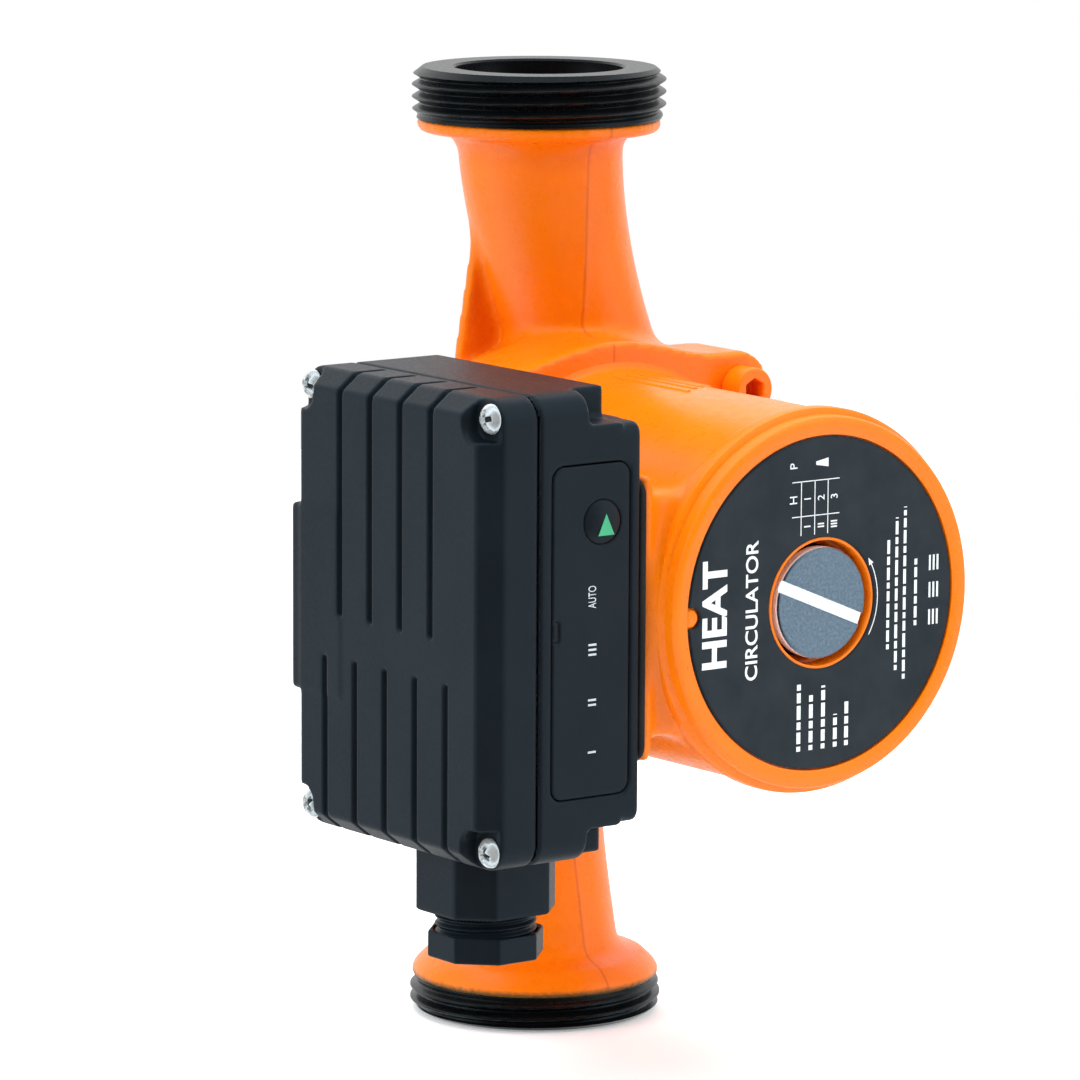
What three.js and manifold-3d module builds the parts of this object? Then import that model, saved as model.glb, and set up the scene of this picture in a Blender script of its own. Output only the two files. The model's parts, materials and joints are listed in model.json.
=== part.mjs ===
// Wet-rotor circulator pump, 180 mm between its G 1 1/2 union faces, in millimetres.
// The pipe axis is vertical (Z). The motor axis is horizontal and points to the front, along -Y.
// "Forward" values are distances in front of the pipe axis, so forward = -y before the last shift.
// The finished group's origin is the centre of the flat pad on the back of the casing.
import * as THREE from "three";
import { mergeVertices } from "three/addons/utils/BufferGeometryUtils.js";
import Module from "manifold-3d";

const wasm = await Module();
wasm.setup();

// ---------- driving dimensions ----------

const GAP = 0.1; // between faces that touch on the real pump
const TURN = 2 * Math.PI;

// Pipe connections.
const HALF_LENGTH = 90;
const THREAD_RADIUS = 23.9;
const OUTLET_THREAD_START = 80;
const INLET_THREAD_START = 83;
const PORT_BORE = 12.7;
const PORT_MOUTH = 15.9;
const NECK_RADIUS = 15.8;
const WEB_HALF_THICKNESS = 1.5; // the flat web between the outlet neck and the volute

// Casing and its joint with the motor housing.
const BACK_PAD = 28;
const CASING_FACE = 17.4;
const FLANGE_BACK = CASING_FACE + GAP;
const LUG_BACK = 6;
const FLANGE_FRONT = 23.8;
const FLANGE_RADIUS = 40.4;
const FLANGE_HALF_SQUARE = 36.4;
const FLANGE_CORNER = 6.5;
const BOLT_OFFSET = 29.6;
const CHAMBER_RADIUS = 34;
const REGISTER_RADIUS = 35;

// Motor housing.
const BARREL_RADIUS = 34.3;
const BARREL_BORE = 30.6;
const BARREL_FRONT = 79.5;
const LIP_RADIUS = 35;
const RING_OUTER = 33.4;
const RING_INNER = 30.5;
const RING_FRONT = 86.4;
const LABEL_RADIUS = 30.2;
const LABEL_BACK = 85.5;
const LABEL_FRONT = 86;
const BUMP_CENTRE = [-29.6, 0]; // a bump on the housing that fits a notch in the label and keeps it upright
const RECESS_RADIUS = 11.4;
const RECESS_FLOOR = 82;

// Rotor, shaft and bearings.
const SHAFT_RADIUS = 4;
const BEARING_BORE = 4.1;
const BEARING_OUTER = 7;
const THRUST_WASHER_RADIUS = 8.2;
const ROTOR_RADIUS = 17.4;
const CAN_INNER = 18.1;
const IMPELLER_RADIUS = 31;
const VANE_COUNT = 6;
const VANE_INNER = 12.5;
const VANE_STEP = 6;
const VANE_SWEEP = 0.3;
const VANE_HALF_THICKNESS = 0.6;
const STATOR_SLOTS = 6;

// Vent plug, with a G 3/8 thread in the front end of the rotor can.
const PLUG_HEAD = 10.1;
const PLUG_THREAD = 8.33;
const PLUG_SLOT_TURN = -0.42;

// Control box. "Left" values are distances to the left of the motor axis, so left = -x.
const BOX_BACK = 39;
const BOX_STEP = 42.8;
const BASE_EDGE = 61.1;
const COVER_EDGE = 61.6;
const BEVEL_START = 69;
const COVER_FRONT = 72.8;
const BOX_FAR = 24;
const BOX_NEAR = 83.7;
const BOX_HALF_HEIGHT = 41.8;
const BOX_CORNER = 4.5;
const BEVEL_INSET = 3;
const WALL = 2.4;
const COVER_SCREW_FORWARD = [26.5, 80.8];
const COVER_SCREW_HEIGHT = 38.3;
const POCKET_FLOOR = 69.3;
const BASE_SCREW_FORWARD = 56;
const BASE_SCREW_HEIGHTS = [-17, 17];
const GROOVE_WIDTH = 1.3;
const GROOVE_DEPTH = 1;
const GROOVE_PITCH = 9.25;
const GROOVE_ROWS = [[4, 39.3, -1.3, 1], [5, 34.7, -10.1, -1]]; // count, first forward, inner end, side

// Operating panel in the near side of the box.
const PANEL_LEFT = [41.4, 58.4];
const PANEL_HEIGHT = [-30.2, 29.1];
const PANEL_DEPTH = 1;
const BUTTON_LEFT = 47.5;
const BUTTON_HEIGHT = 18.7;
const BUTTON_RADIUS = 4;
const SWITCH_SIZE = 6;
const LAMP_HEIGHTS = [-23, -14, -5, 4];
const TERMINAL_FORWARD = [44.5, 54, 63.5];
const TERMINAL_HEIGHT = -28;

// Cable gland under the box.
const GLAND_LEFT = 50.5;
const GLAND_FORWARD = 53.4;
const BOSS_FLATS = 21;
const BOSS_BOTTOM = -55.4;
const GLAND_THREAD = 9.2;
const GLAND_THREAD_END = -61.6;
const NUT_FLATS = 20.6;
const NUT_TOP = -58.9;
const NUT_BOTTOM = -63.8;

// Number of sides on round pieces.
const FINE = 28;
const ROUND = 20;
const SMALL = 12;
const COARSE = 8;

// ---------- materials ----------

function material(color, roughness, metalness) {
  return new THREE.MeshStandardMaterial({ color, roughness, metalness });
}

const ORANGE_PAINT = material(0xf26a12, 0.32, 0.1);
const BLACK_PLASTIC = material(0x20262b, 0.5, 0);
const BLACK_LABEL = material(0x23282c, 0.25, 0);
const DARK_RUBBER = material(0x121212, 0.8, 0);
const BRIGHT_STEEL = material(0xc9ccd0, 0.25, 1);
const DULL_STEEL = material(0x8e9196, 0.45, 1);
const LAMINATIONS = material(0x5d6064, 0.5, 0.9);
const COPPER = material(0xb8622d, 0.4, 0.9);
const CERAMIC = material(0xe8e4da, 0.3, 0);
const CARBON = material(0x2a2a2c, 0.6, 0);
const IMPELLER_PLASTIC = material(0x4a4742, 0.5, 0);
const GREEN_LAMINATE = material(0x1f6b3a, 0.5, 0);
const WHITE_PLASTIC = material(0xe9ece8, 0.4, 0);
const YELLOW_FILM = material(0xd9b441, 0.45, 0);

// ---------- solids ----------

// Where a drawn solid's own axes go. A solid is drawn on (u, v) and grows along w.
const X = new THREE.Vector3(1, 0, 0);
const Y = new THREE.Vector3(0, 1, 0);
const Z = new THREE.Vector3(0, 0, 1);
const UP = new THREE.Matrix4(); // u = x, v = y, w = z
const FRONT = Y.clone().negate();
const FORWARD = new THREE.Matrix4().makeBasis(X, Z, FRONT); // u = x, v = z, w = -y
const LEFT = new THREE.Matrix4().makeBasis(FRONT, Z, X.clone().negate()); // u = -y, v = z, w = -x

// A three.js geometry as a manifold-3d solid with its faces pointing out.
function solidOf(geometry) {
  geometry.deleteAttribute("normal");
  geometry.deleteAttribute("uv");
  const merged = mergeVertices(geometry, 1e-4);
  const corners = [];
  const source = merged.index.array;
  for (let i = 0; i < source.length; i += 3) {
    const [a, b, c] = [source[i], source[i + 1], source[i + 2]];
    if (a !== b && b !== c && c !== a) corners.push(a, b, c);
  }
  const make = (triangles) =>
    new wasm.Manifold(
      new wasm.Mesh({
        numProp: 3,
        vertProperties: merged.attributes.position.array,
        triVerts: new Uint32Array(triangles),
      }),
    );
  const made = make(corners);
  return made.volume() > 0 ? made : make(corners.reverse());
}

// A solid of revolution around w, from a profile of [radius, height] points.
function spin(profile, facing, sides = ROUND, centre = [0, 0]) {
  const closed = profile[0][0] === 0 ? profile : [...profile, profile[0]];
  const points = closed.map(([radius, height]) => new THREE.Vector2(radius, height));
  const geometry = new THREE.LatheGeometry(points, sides);
  geometry.rotateX(Math.PI / 2);
  geometry.translate(centre[0], centre[1], 0);
  return solidOf(geometry.applyMatrix4(facing));
}

// A round bar around w.
function rod(radius, low, high, facing, sides = SMALL, centre = [0, 0]) {
  const profile = [[0, low], [radius, low], [radius, high], [0, high]];
  return spin(profile, facing, sides, centre);
}

// A round pipe around w.
function tube(inner, outer, low, high, facing, sides = ROUND, centre = [0, 0]) {
  return spin([[inner, low], [outer, low], [outer, high], [inner, high]], facing, sides, centre);
}

// A flat outline that grows along w from low to high.
function slab(outline, low, high, facing, curveSegments = 3) {
  const depth = high - low;
  const geometry = new THREE.ExtrudeGeometry(outline, { depth, bevelEnabled: false, curveSegments });
  geometry.translate(0, 0, low);
  return solidOf(geometry.applyMatrix4(facing));
}

// A rectangle with round corners.
function rectangle(u0, u1, v0, v1, corner = 0) {
  const shape = new THREE.Shape();
  if (corner === 0) {
    shape.setFromPoints([[u0, v0], [u1, v0], [u1, v1], [u0, v1]].map(([u, v]) => new THREE.Vector2(u, v)));
    return shape;
  }
  shape.absarc(u1 - corner, v0 + corner, corner, -TURN / 4, 0);
  shape.absarc(u1 - corner, v1 - corner, corner, 0, TURN / 4);
  shape.absarc(u0 + corner, v1 - corner, corner, TURN / 4, TURN / 2);
  shape.absarc(u0 + corner, v0 + corner, corner, TURN / 2, TURN * 0.75);
  return shape;
}

function brick(u, v, w, facing, corner = 0) {
  return slab(rectangle(u[0], u[1], v[0], v[1], corner), w[0], w[1], facing, 3);
}

// A brick by its centre and half sizes.
function block([u, v], halfU, halfV, w, facing) {
  return brick([u - halfU, u + halfU], [v - halfV, v + halfV], w, facing);
}

// A regular polygon by its width across flats.
function polygon(sides, flats, centre = [0, 0], turn = 0) {
  const radius = flats / 2 / Math.cos(Math.PI / sides);
  const points = [];
  for (let i = 0; i < sides; i += 1) {
    const angle = turn + ((i + 0.5) * TURN) / sides;
    points.push([centre[0] + radius * Math.cos(angle), centre[1] + radius * Math.sin(angle)]);
  }
  return outline(points);
}

function outline(points) {
  return new THREE.Shape(points.map(([u, v]) => new THREE.Vector2(u, v)));
}

// A round bar with level rings: each station is [x, y, z, radius], listed upwards.
function hose(stations, sides = ROUND) {
  const positions = [];
  const index = [];
  for (const [x, y, z, radius] of stations) {
    for (let i = 0; i < sides; i += 1) {
      const angle = (i * TURN) / sides;
      positions.push(x + radius * Math.cos(angle), y + radius * Math.sin(angle), z);
    }
  }
  const ring = (level, i) => level * sides + (i % sides);
  const top = stations.length - 1;
  for (let i = 0; i < sides; i += 1) {
    for (let level = 0; level < top; level += 1) {
      index.push(ring(level, i), ring(level, i + 1), ring(level + 1, i + 1));
      index.push(ring(level, i), ring(level + 1, i + 1), ring(level + 1, i));
    }
    if (i > 1) {
      index.push(0, i, i - 1);
      index.push(ring(top, 0), ring(top, i - 1), ring(top, i));
    }
  }
  const geometry = new THREE.BufferGeometry();
  geometry.setAttribute("position", new THREE.Float32BufferAttribute(positions, 3));
  geometry.setIndex(index);
  return solidOf(geometry);
}

function join(...solids) {
  return solids.reduce((all, next) => all.add(next));
}

function cut(base, ...tools) {
  return tools.reduce((left, tool) => left.subtract(tool), base);
}

// ---------- the assembly ----------

const assembly = new THREE.Group();

function place(name, finish, solid) {
  const { numProp, vertProperties, triVerts } = solid.getMesh();
  const positions = new Float32Array((vertProperties.length / numProp) * 3);
  for (let i = 0; i < positions.length / 3; i += 1) {
    positions.set(vertProperties.subarray(i * numProp, i * numProp + 3), i * 3);
  }
  const geometry = new THREE.BufferGeometry();
  geometry.setAttribute("position", new THREE.BufferAttribute(positions, 3));
  geometry.setIndex(new THREE.BufferAttribute(triVerts, 1));
  geometry.computeVertexNormals();
  const mesh = new THREE.Mesh(geometry, finish);
  mesh.name = name;
  assembly.add(mesh);
}

const CORNER_SIGNS = [[-1, 1], [1, 1], [1, -1], [-1, -1]];

// The outline that casing and motor housing share at their joint: a disc with four square lugs.
function flangePlate(low, high) {
  const side = FLANGE_HALF_SQUARE;
  return join(
    rod(FLANGE_RADIUS, low, high, FORWARD, FINE),
    brick([-side, side], [-side, side], [low, high], FORWARD, FLANGE_CORNER),
  );
}

const BOLT_CENTRES = CORNER_SIGNS.map(([u, v]) => [u * BOLT_OFFSET, v * BOLT_OFFSET]);

function boltHoles(radius, low, high) {
  return join(...BOLT_CENTRES.map((centre) => rod(radius, low, high, FORWARD, COARSE, centre)));
}

// ---------- wet end ----------

// Union collars. The thread is a plain band at its crest radius.
function outletCollar() {
  const start = OUTLET_THREAD_START;
  const profile = [
    [0, 72], [16.5, 75], [21.6, 77], [22.8, 78.4], [22.8, start], [THREAD_RADIUS, start],
    [THREAD_RADIUS, HALF_LENGTH - 1.8], [22, HALF_LENGTH], [0, HALF_LENGTH],
  ];
  return spin(profile, UP, FINE);
}

function inletCollar() {
  const start = INLET_THREAD_START;
  const profile = [
    [0, 72], [15, 75], [16.4, 77.6], [20.8, 80], [22.6, 82], [22.8, start], [THREAD_RADIUS, start],
    [THREAD_RADIUS, HALF_LENGTH - 1.8], [22.4, HALF_LENGTH], [0, HALF_LENGTH],
  ];
  return spin(profile.map(([radius, height]) => [radius, -height]), UP, FINE);
}

function portMouth(sign) {
  const profile = [
    [0, 62], [PORT_BORE, 62], [PORT_BORE, 78], [PORT_MOUTH, HALF_LENGTH - 4],
    [PORT_MOUTH, HALF_LENGTH + 1], [0, HALF_LENGTH + 1],
  ];
  return spin(profile.map(([radius, height]) => [radius, sign * height]), UP, ROUND);
}

function casingOutside() {
  const volute = spin(
    [
      [0, -BACK_PAD], [12, -BACK_PAD], [12, 1.2 - BACK_PAD], [17, -24.5], [21, -17], [28, -10],
      [35, -6], [38.5, -1], [39.4, 8], [0, 8],
    ],
    FORWARD,
    FINE,
  );
  const outletNeck = hose([
    [10.5, 4, 18, 14.5],
    [8.6, 1, 39.2, 14.6],
    [6, 0.4, 45.9, 15],
    [3.2, 0, 57.2, 15.4],
    [1.5, 0, 68.6, 15.6],
    [0.5, 0, 77, NECK_RADIUS],
  ]);
  const inletNeck = hose([
    [0, 0, -77, 16],
    [0, 1, -69, 15],
    [0, 2.5, -60, 14.8],
    [0, 7, -46, 15.2],
    [0, 11.5, -34, 15.8],
    [0, 12, -14, 16],
  ]);
  const web = slab(
    outline([[-8, 60], [-15.9, 57.7], [-20, 34.6], [-22.6, 20], [0, 20], [0, 60]]),
    -WEB_HALF_THICKNESS,
    WEB_HALF_THICKNESS,
    FORWARD,
  );
  return join(
    volute, flangePlate(LUG_BACK, CASING_FACE), outletCollar(), inletCollar(), outletNeck, inletNeck, web,
  );
}

function addCasing() {
  const suction = hose([
    [0, 0, -79, PORT_BORE],
    [0, 1, -68, 12],
    [0, 3, -58, 11.5],
    [0, 8, -44, 11.2],
    [0, 12, -33, 11],
    [0, 12.5, 2, 11],
    [0, 12.5, 8, 9],
    [0, 12.5, 11, 4],
  ], SMALL);
  const discharge = hose([
    [10, -9, 22, 5],
    [9.6, -5.5, 32, 9],
    [8.2, -1.5, 40, 10.4],
    [5.8, 0, 47, 11],
    [3.2, 0, 57, 11.8],
    [1, 0, 68, 12.3],
    [0, 0, 79, PORT_BORE],
  ], SMALL);
  const chamber = spin(
    [
      [0, 3], [CHAMBER_RADIUS, 3], [CHAMBER_RADIUS, 15.4], [REGISTER_RADIUS, 15.4], [REGISTER_RADIUS, 20],
      [0, 20],
    ],
    FORWARD,
    FINE,
  );
  const eye = rod(15.2, -10, 4, FORWARD, ROUND);
  const sealGroove = tube(36.2, 38.8, 15.6, 20, FORWARD, FINE);
  const casing = cut(
    casingOutside(), portMouth(1), portMouth(-1), suction, discharge, chamber, eye, sealGroove,
    boltHoles(2.65, 7, 20),
  );
  place("pump_body", ORANGE_PAINT, casing);
}

function addWearRing() {
  place("wear_ring", BRIGHT_STEEL, tube(13.6, 15.1, -1.4, 2.4, FORWARD));
}

// A curved vane drawn as one side outwards and the other side back inwards.
function vaneOutline(firstAngle) {
  const edge = (side) =>
    [0, 1, 2, 3].map((step) => {
      const radius = VANE_INNER + step * VANE_STEP;
      const angle = firstAngle + step * VANE_SWEEP;
      const [cosine, sine] = [Math.cos(angle), Math.sin(angle)];
      return [radius * cosine - side * sine, radius * sine + side * cosine];
    });
  return outline([...edge(-VANE_HALF_THICKNESS), ...edge(VANE_HALF_THICKNESS).reverse()]);
}

// Closed impeller: two shrouds with backward-curved vanes between them, and an inlet neck.
function addImpeller() {
  const backShroud = spin(
    [
      [SHAFT_RADIUS + 0.05, 5], [6.6, 5], [7.2, 10], [IMPELLER_RADIUS, 11.6], [IMPELLER_RADIUS, 13],
      [SHAFT_RADIUS + 0.05, 13],
    ],
    FORWARD,
  );
  const frontShroud = spin(
    [[11.8, -1], [13.2, -1], [13.2, 4], [IMPELLER_RADIUS, 5.6], [IMPELLER_RADIUS, 7], [11.8, 5.4]],
    FORWARD,
  );
  const vanes = [];
  for (let i = 0; i < VANE_COUNT; i += 1) {
    vanes.push(slab(vaneOutline((i * TURN) / VANE_COUNT), 5.2, 12.2, FORWARD));
  }
  place("impeller", IMPELLER_PLASTIC, join(backShroud, frontShroud, ...vanes));
}

function addBearingPlate() {
  const plate = spin(
    [
      [7.1, 14.2], [8.4, 14.2], [8.4, 15.5], [34.7, 15.5], [34.7, 16.7], [8.4, 16.7], [8.4, 22.4],
      [7.1, 22.4],
    ],
    FORWARD,
  );
  place("bearing_plate", DULL_STEEL, plate);
}

function addHousingSeal() {
  const section = [[36.5, 16], [37.5, 15.7], [38.5, 16], [38.5, 17.1], [37.5, 17.4], [36.5, 17.1]];
  const ring = spin(section, FORWARD, FINE);
  place("housing_seal", DARK_RUBBER, ring);
}

// ---------- rotor ----------

function addRotor() {
  const shaft = cut(
    rod(SHAFT_RADIUS, 4.2, 75, FORWARD, ROUND),
    brick([-0.6, 0.6], [-5, 5], [73.6, 76], FORWARD),
  );
  place("shaft", CERAMIC, shaft);
  const bore = SHAFT_RADIUS + 0.05;
  const core = spin(
    [
      [bore, 28], [6.5, 28], [6.5, 30], [14, 30], [ROTOR_RADIUS, 31], [ROTOR_RADIUS, 57], [14, 58], [6.5, 58],
      [6.5, 60], [bore, 60],
    ],
    FORWARD,
  );
  place("rotor_core", LAMINATIONS, core);
  place("rotor_retaining_ring", BRIGHT_STEEL, tube(bore, 6.6, 60.2, 62.6, FORWARD));
}

function addBearings() {
  place("rear_bearing", CARBON, tube(BEARING_BORE, BEARING_OUTER, 14.3, 22.3, FORWARD));
  place("front_bearing", CARBON, tube(BEARING_BORE, BEARING_OUTER, 66.4, 75.4, FORWARD));
  place("thrust_washer", CERAMIC, tube(BEARING_BORE, THRUST_WASHER_RADIUS, 22.6, 24.4, FORWARD));
}

// The thin can keeps the water on the rotor's side. Its front end holds a bearing and the vent thread.
function addRotorCan() {
  const can = spin(
    [
      [CAN_INNER, 16.9], [30.2, 16.9], [30.2, 17.4], [18.6, 17.4], [18.6, 77.4], [9.9, 77.4], [9.9, 81.9],
      [8.6, 81.9], [8.6, 75.8], [7.1, 75.8], [7.1, 66], [8.3, 66], [8.3, 74.8], [CAN_INNER, 74.8],
    ],
    FORWARD,
  );
  place("rotor_can", BRIGHT_STEEL, can);
  place("can_seal", DARK_RUBBER, tube(28.4, 30.2, 17.6, 19.2, FORWARD));
}

// ---------- stator ----------

function slotBars(halfWidth, inner, outer, low, high) {
  const bars = [];
  for (let i = 0; i < STATOR_SLOTS; i += 1) {
    const turned = new THREE.Matrix4().makeRotationY((i * TURN) / STATOR_SLOTS).multiply(FORWARD);
    bars.push(brick([inner, outer], [-halfWidth, halfWidth], [low, high], turned));
  }
  return join(...bars);
}

function addStator() {
  const ring = tube(19, 30.3, 28, 58, FORWARD);
  place("stator_core", LAMINATIONS, cut(ring, slotBars(3.2, 20.5, 26.5, 27, 59)));
  const coilEnd = (low, high) => tube(20.5, 29, low, high, FORWARD, 24);
  const winding = join(coilEnd(21, 27.6), coilEnd(58.4, 68), slotBars(2.9, 21, 26, 27, 59));
  place("stator_winding", COPPER, winding);
}

// ---------- motor housing ----------

function addMotorHousing() {
  const barrel = spin(
    [
      [0, 20], [36, 20], [36, FLANGE_FRONT], [34.9, FLANGE_FRONT + 1.4], [BARREL_RADIUS, FLANGE_FRONT + 6],
      [BARREL_RADIUS, BARREL_FRONT], [LIP_RADIUS, BARREL_FRONT + 1], [LIP_RADIUS, 83.2], [34.2, 84.2],
      [RING_OUTER, 84.2], [RING_OUTER, RING_FRONT - 0.5], [RING_OUTER - 0.5, RING_FRONT],
      [RING_INNER, RING_FRONT], [RING_INNER, LABEL_BACK - GAP], [0, LABEL_BACK - GAP],
    ],
    FORWARD,
    FINE,
  );
  const pad = brick([-37.4, -35], [-25.6, 25.6], [34, 82], FORWARD, 0);
  const padNeck = brick([-35.2, -20], [-22, 22], [34, 82], FORWARD, 0);
  const bump = rod(1.6, 80, RING_FRONT, FORWARD, SMALL, BUMP_CENTRE);
  const inside = spin(
    [[0, 10], [BARREL_BORE, 10], [BARREL_BORE, 79.4], [0, 79.4]],
    FORWARD,
    FINE,
  );
  const canHole = rod(10.2, 70, 90, FORWARD, ROUND);
  const recess = rod(RECESS_RADIUS, RECESS_FLOOR, 90, FORWARD, ROUND);
  const leadHole = brick([46, 66], [-7, 7], [25, 45], LEFT, 0);
  const screwHoles = baseScrewHoles(1.5, 30, 45);
  const housing = cut(
    join(flangePlate(FLANGE_BACK, FLANGE_FRONT), barrel, pad, padNeck, bump),
    inside, canHole, recess, leadHole, screwHoles, boltHoles(2.8, 10, 40),
  );
  place("motor_housing", ORANGE_PAINT, housing);
}

// Socket head cap screw M5 with a 4 mm hexagon.
function addHousingBolts() {
  BOLT_CENTRES.forEach((centre, i) => {
    const head = spin(
      [
        [0, FLANGE_FRONT + GAP], [4.25, FLANGE_FRONT + GAP], [4.25, FLANGE_FRONT + 4.6],
        [3.8, FLANGE_FRONT + 5], [0, FLANGE_FRONT + 5],
      ],
      FORWARD,
      SMALL,
      centre,
    );
    const shank = rod(2.45, 7.5, FLANGE_FRONT + 1, FORWARD, COARSE, centre);
    const socket = slab(polygon(6, 4, centre), FLANGE_FRONT + 2.5, FLANGE_FRONT + 6, FORWARD);
    place("housing_bolt_" + (i + 1), ORANGE_PAINT, cut(join(head, shank), socket));
  });
}

function addLabel() {
  const disc = cut(
    rod(LABEL_RADIUS, LABEL_BACK, LABEL_FRONT, FORWARD, FINE),
    rod(11.6, 80, 90, FORWARD, ROUND),
    rod(2, 80, 90, FORWARD, SMALL, BUMP_CENTRE),
  );
  place("label_disc", BLACK_LABEL, disc);
}

function addVentPlug() {
  place("plug_seal", DARK_RUBBER, tube(8.75, 9.9, 82, 82.8, FORWARD, 24));
  const turned = spin(
    [
      [0, 77], [7.6, 77], [PLUG_THREAD, 77.8], [PLUG_THREAD, 82.9], [PLUG_HEAD, 82.9], [PLUG_HEAD, 84.6],
      [PLUG_HEAD - 0.9, 85.3], [0, 85.3],
    ],
    FORWARD,
  );
  const slotFacing = new THREE.Matrix4().makeRotationY(PLUG_SLOT_TURN).multiply(FORWARD);
  const slot = brick([-12, 12], [-1.05, 1.05], [83.9, 87], slotFacing);
  place("vent_plug", BRIGHT_STEEL, cut(turned, slot));
}

// ---------- control box ----------

const BOX_PLAN = [BOX_FAR, BOX_NEAR, -BOX_HALF_HEIGHT, BOX_HALF_HEIGHT];

function inset(distance, corner) {
  const [far, near, low, high] = BOX_PLAN;
  return rectangle(far + distance, near - distance, low + distance, high - distance, corner);
}

// The inside of the box, with its corners left solid for the cover screws.
function hollow(low, high, floorHeight = BOX_HALF_HEIGHT) {
  const [far, near] = BOX_PLAN;
  const tall = Math.min(BOX_HALF_HEIGHT, floorHeight) - WALL;
  const post = 9;
  const points = [
    [far + WALL + post, -tall], [near - WALL - post, -tall], [near - WALL, -tall + post],
    [near - WALL, tall - post], [near - WALL - post, tall], [far + WALL + post, tall],
    [far + WALL, tall - post], [far + WALL, -tall + post],
  ];
  return slab(outline(points), low, high, LEFT);
}

function coverScrewHoles(radius, low, high) {
  const holes = [];
  for (const forward of COVER_SCREW_FORWARD) {
    for (const side of [-1, 1]) {
      holes.push(rod(radius, low, high, LEFT, COARSE, [forward, side * COVER_SCREW_HEIGHT]));
    }
  }
  return join(...holes);
}

function addSealFrame() {
  const frame = cut(
    brick([36, 80.5], [-25.4, 25.4], [37.5, 38.9], LEFT, 3),
    brick([39, 77.5], [-22.4, 22.4], [36, 40], LEFT, 1.5),
  );
  place("box_seal_frame", DARK_RUBBER, frame);
}

function addBoxBase() {
  const [far, near] = BOX_PLAN;
  const shell = slab(inset(0, BOX_CORNER), BOX_STEP, BASE_EDGE, LEFT);
  const backStep = brick([far, near], [-36, 36], [BOX_BACK, BOX_STEP + 1], LEFT, 2.5);
  const glandCentre = [-GLAND_LEFT, -GLAND_FORWARD];
  const boss = slab(polygon(8, BOSS_FLATS, glandCentre), BOSS_BOTTOM, -40, UP);
  const thread = rod(GLAND_THREAD, GLAND_THREAD_END, BOSS_BOTTOM + 1, UP, 24, glandCentre);
  const notch = (side) =>
    brick([near - 6.2, near + 1], side > 0 ? [36, 50] : [-50, -36], [BOX_BACK, 50.2], LEFT);
  const panelRecess = brick(
    [near - PANEL_DEPTH - 0.15, near + 1],
    [PANEL_HEIGHT[0] - 0.15, PANEL_HEIGHT[1] + 0.15],
    [PANEL_LEFT[0] - 0.15, PANEL_LEFT[1] + 0.15],
    LEFT,
  );
  const buttonHole = rod(5.6, near - 5, near + 1, FORWARD, SMALL, [-BUTTON_LEFT, BUTTON_HEIGHT]);
  const lightWindows = brick([near - 5, near + 1], [-26, 8], [48.4, 51.6], LEFT);
  const cable = rod(6.3, -70, -30, UP, 24, glandCentre);
  const leadHole = brick([46, 66], [-7, 7], [30, 45], LEFT);
  const base = cut(
    join(shell, backStep, boss, thread),
    hollow(BOX_STEP + 2, 80), hollow(BOX_BACK + 2.4, BOX_STEP + 4, 36), notch(1), notch(-1), panelRecess,
    buttonHole, lightWindows, cable, leadHole, coverScrewHoles(1.35, 52, 65), baseScrewHoles(1.8, 30, 45),
  );
  place("control_box_base", BLACK_PLASTIC, base);
}

function baseScrewHoles(radius, low, high) {
  return join(
    ...BASE_SCREW_HEIGHTS.map((height) => rod(radius, low, high, LEFT, COARSE, [BASE_SCREW_FORWARD, height])),
  );
}

// The cross that a screwdriver turns, in a screw head that faces left.
function crossRecess(centre, reach, halfWidth, floor) {
  return join(
    block(centre, reach, halfWidth, [floor, floor + 3], LEFT),
    block(centre, halfWidth, reach, [floor, floor + 3], LEFT),
  );
}

function addBaseScrews() {
  BASE_SCREW_HEIGHTS.forEach((height, i) => {
    const centre = [BASE_SCREW_FORWARD, height];
    const head = rod(3.2, 41.6, 43.8, LEFT, SMALL, centre);
    const shank = rod(1.3, 31, 42, LEFT, COARSE, centre);
    place("base_screw_" + (i + 1), BRIGHT_STEEL, cut(join(head, shank), crossRecess(centre, 2, 0.4, 42.8)));
  });
}

function addCoverGasket() {
  const frame = cut(
    slab(inset(0.8, BOX_CORNER - 0.8), BASE_EDGE + 0.05, COVER_EDGE - 0.05, LEFT),
    hollow(60, 63),
    coverScrewHoles(1.9, 60, 63),
  );
  place("cover_gasket", DARK_RUBBER, frame);
}

// A groove cut into the cover's front, over the bevel and across the top or the bottom.
function groove(forward, start, side) {
  const floor = GROOVE_DEPTH - COVER_FRONT;
  const top = BOX_HALF_HEIGHT;
  const beyond = -COVER_EDGE - 1;
  const path = [
    [-COVER_FRONT - 1, start], [floor, start], [floor, side * (top - BEVEL_INSET - 0.4)],
    [GROOVE_DEPTH * 0.6 - BEVEL_START, side * (top - GROOVE_DEPTH)], [beyond, side * (top - GROOVE_DEPTH)],
    [beyond, side * (top + 1)], [-COVER_FRONT - 1, side * (top + 1)],
  ];
  const shape = outline(side > 0 ? path : path.reverse());
  return slab(shape, forward - GROOVE_WIDTH / 2, forward + GROOVE_WIDTH / 2, FORWARD);
}

function coverBody() {
  const straight = slab(inset(0, BOX_CORNER), COVER_EDGE, BEVEL_START, LEFT);
  const bevel = bevelled(BOX_CORNER, BEVEL_START, COVER_FRONT);
  const bump = brick([23.9, 40], [-17, 17], [COVER_EDGE, COVER_FRONT], LEFT, 1);
  return join(straight, bevel, bump);
}

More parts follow.
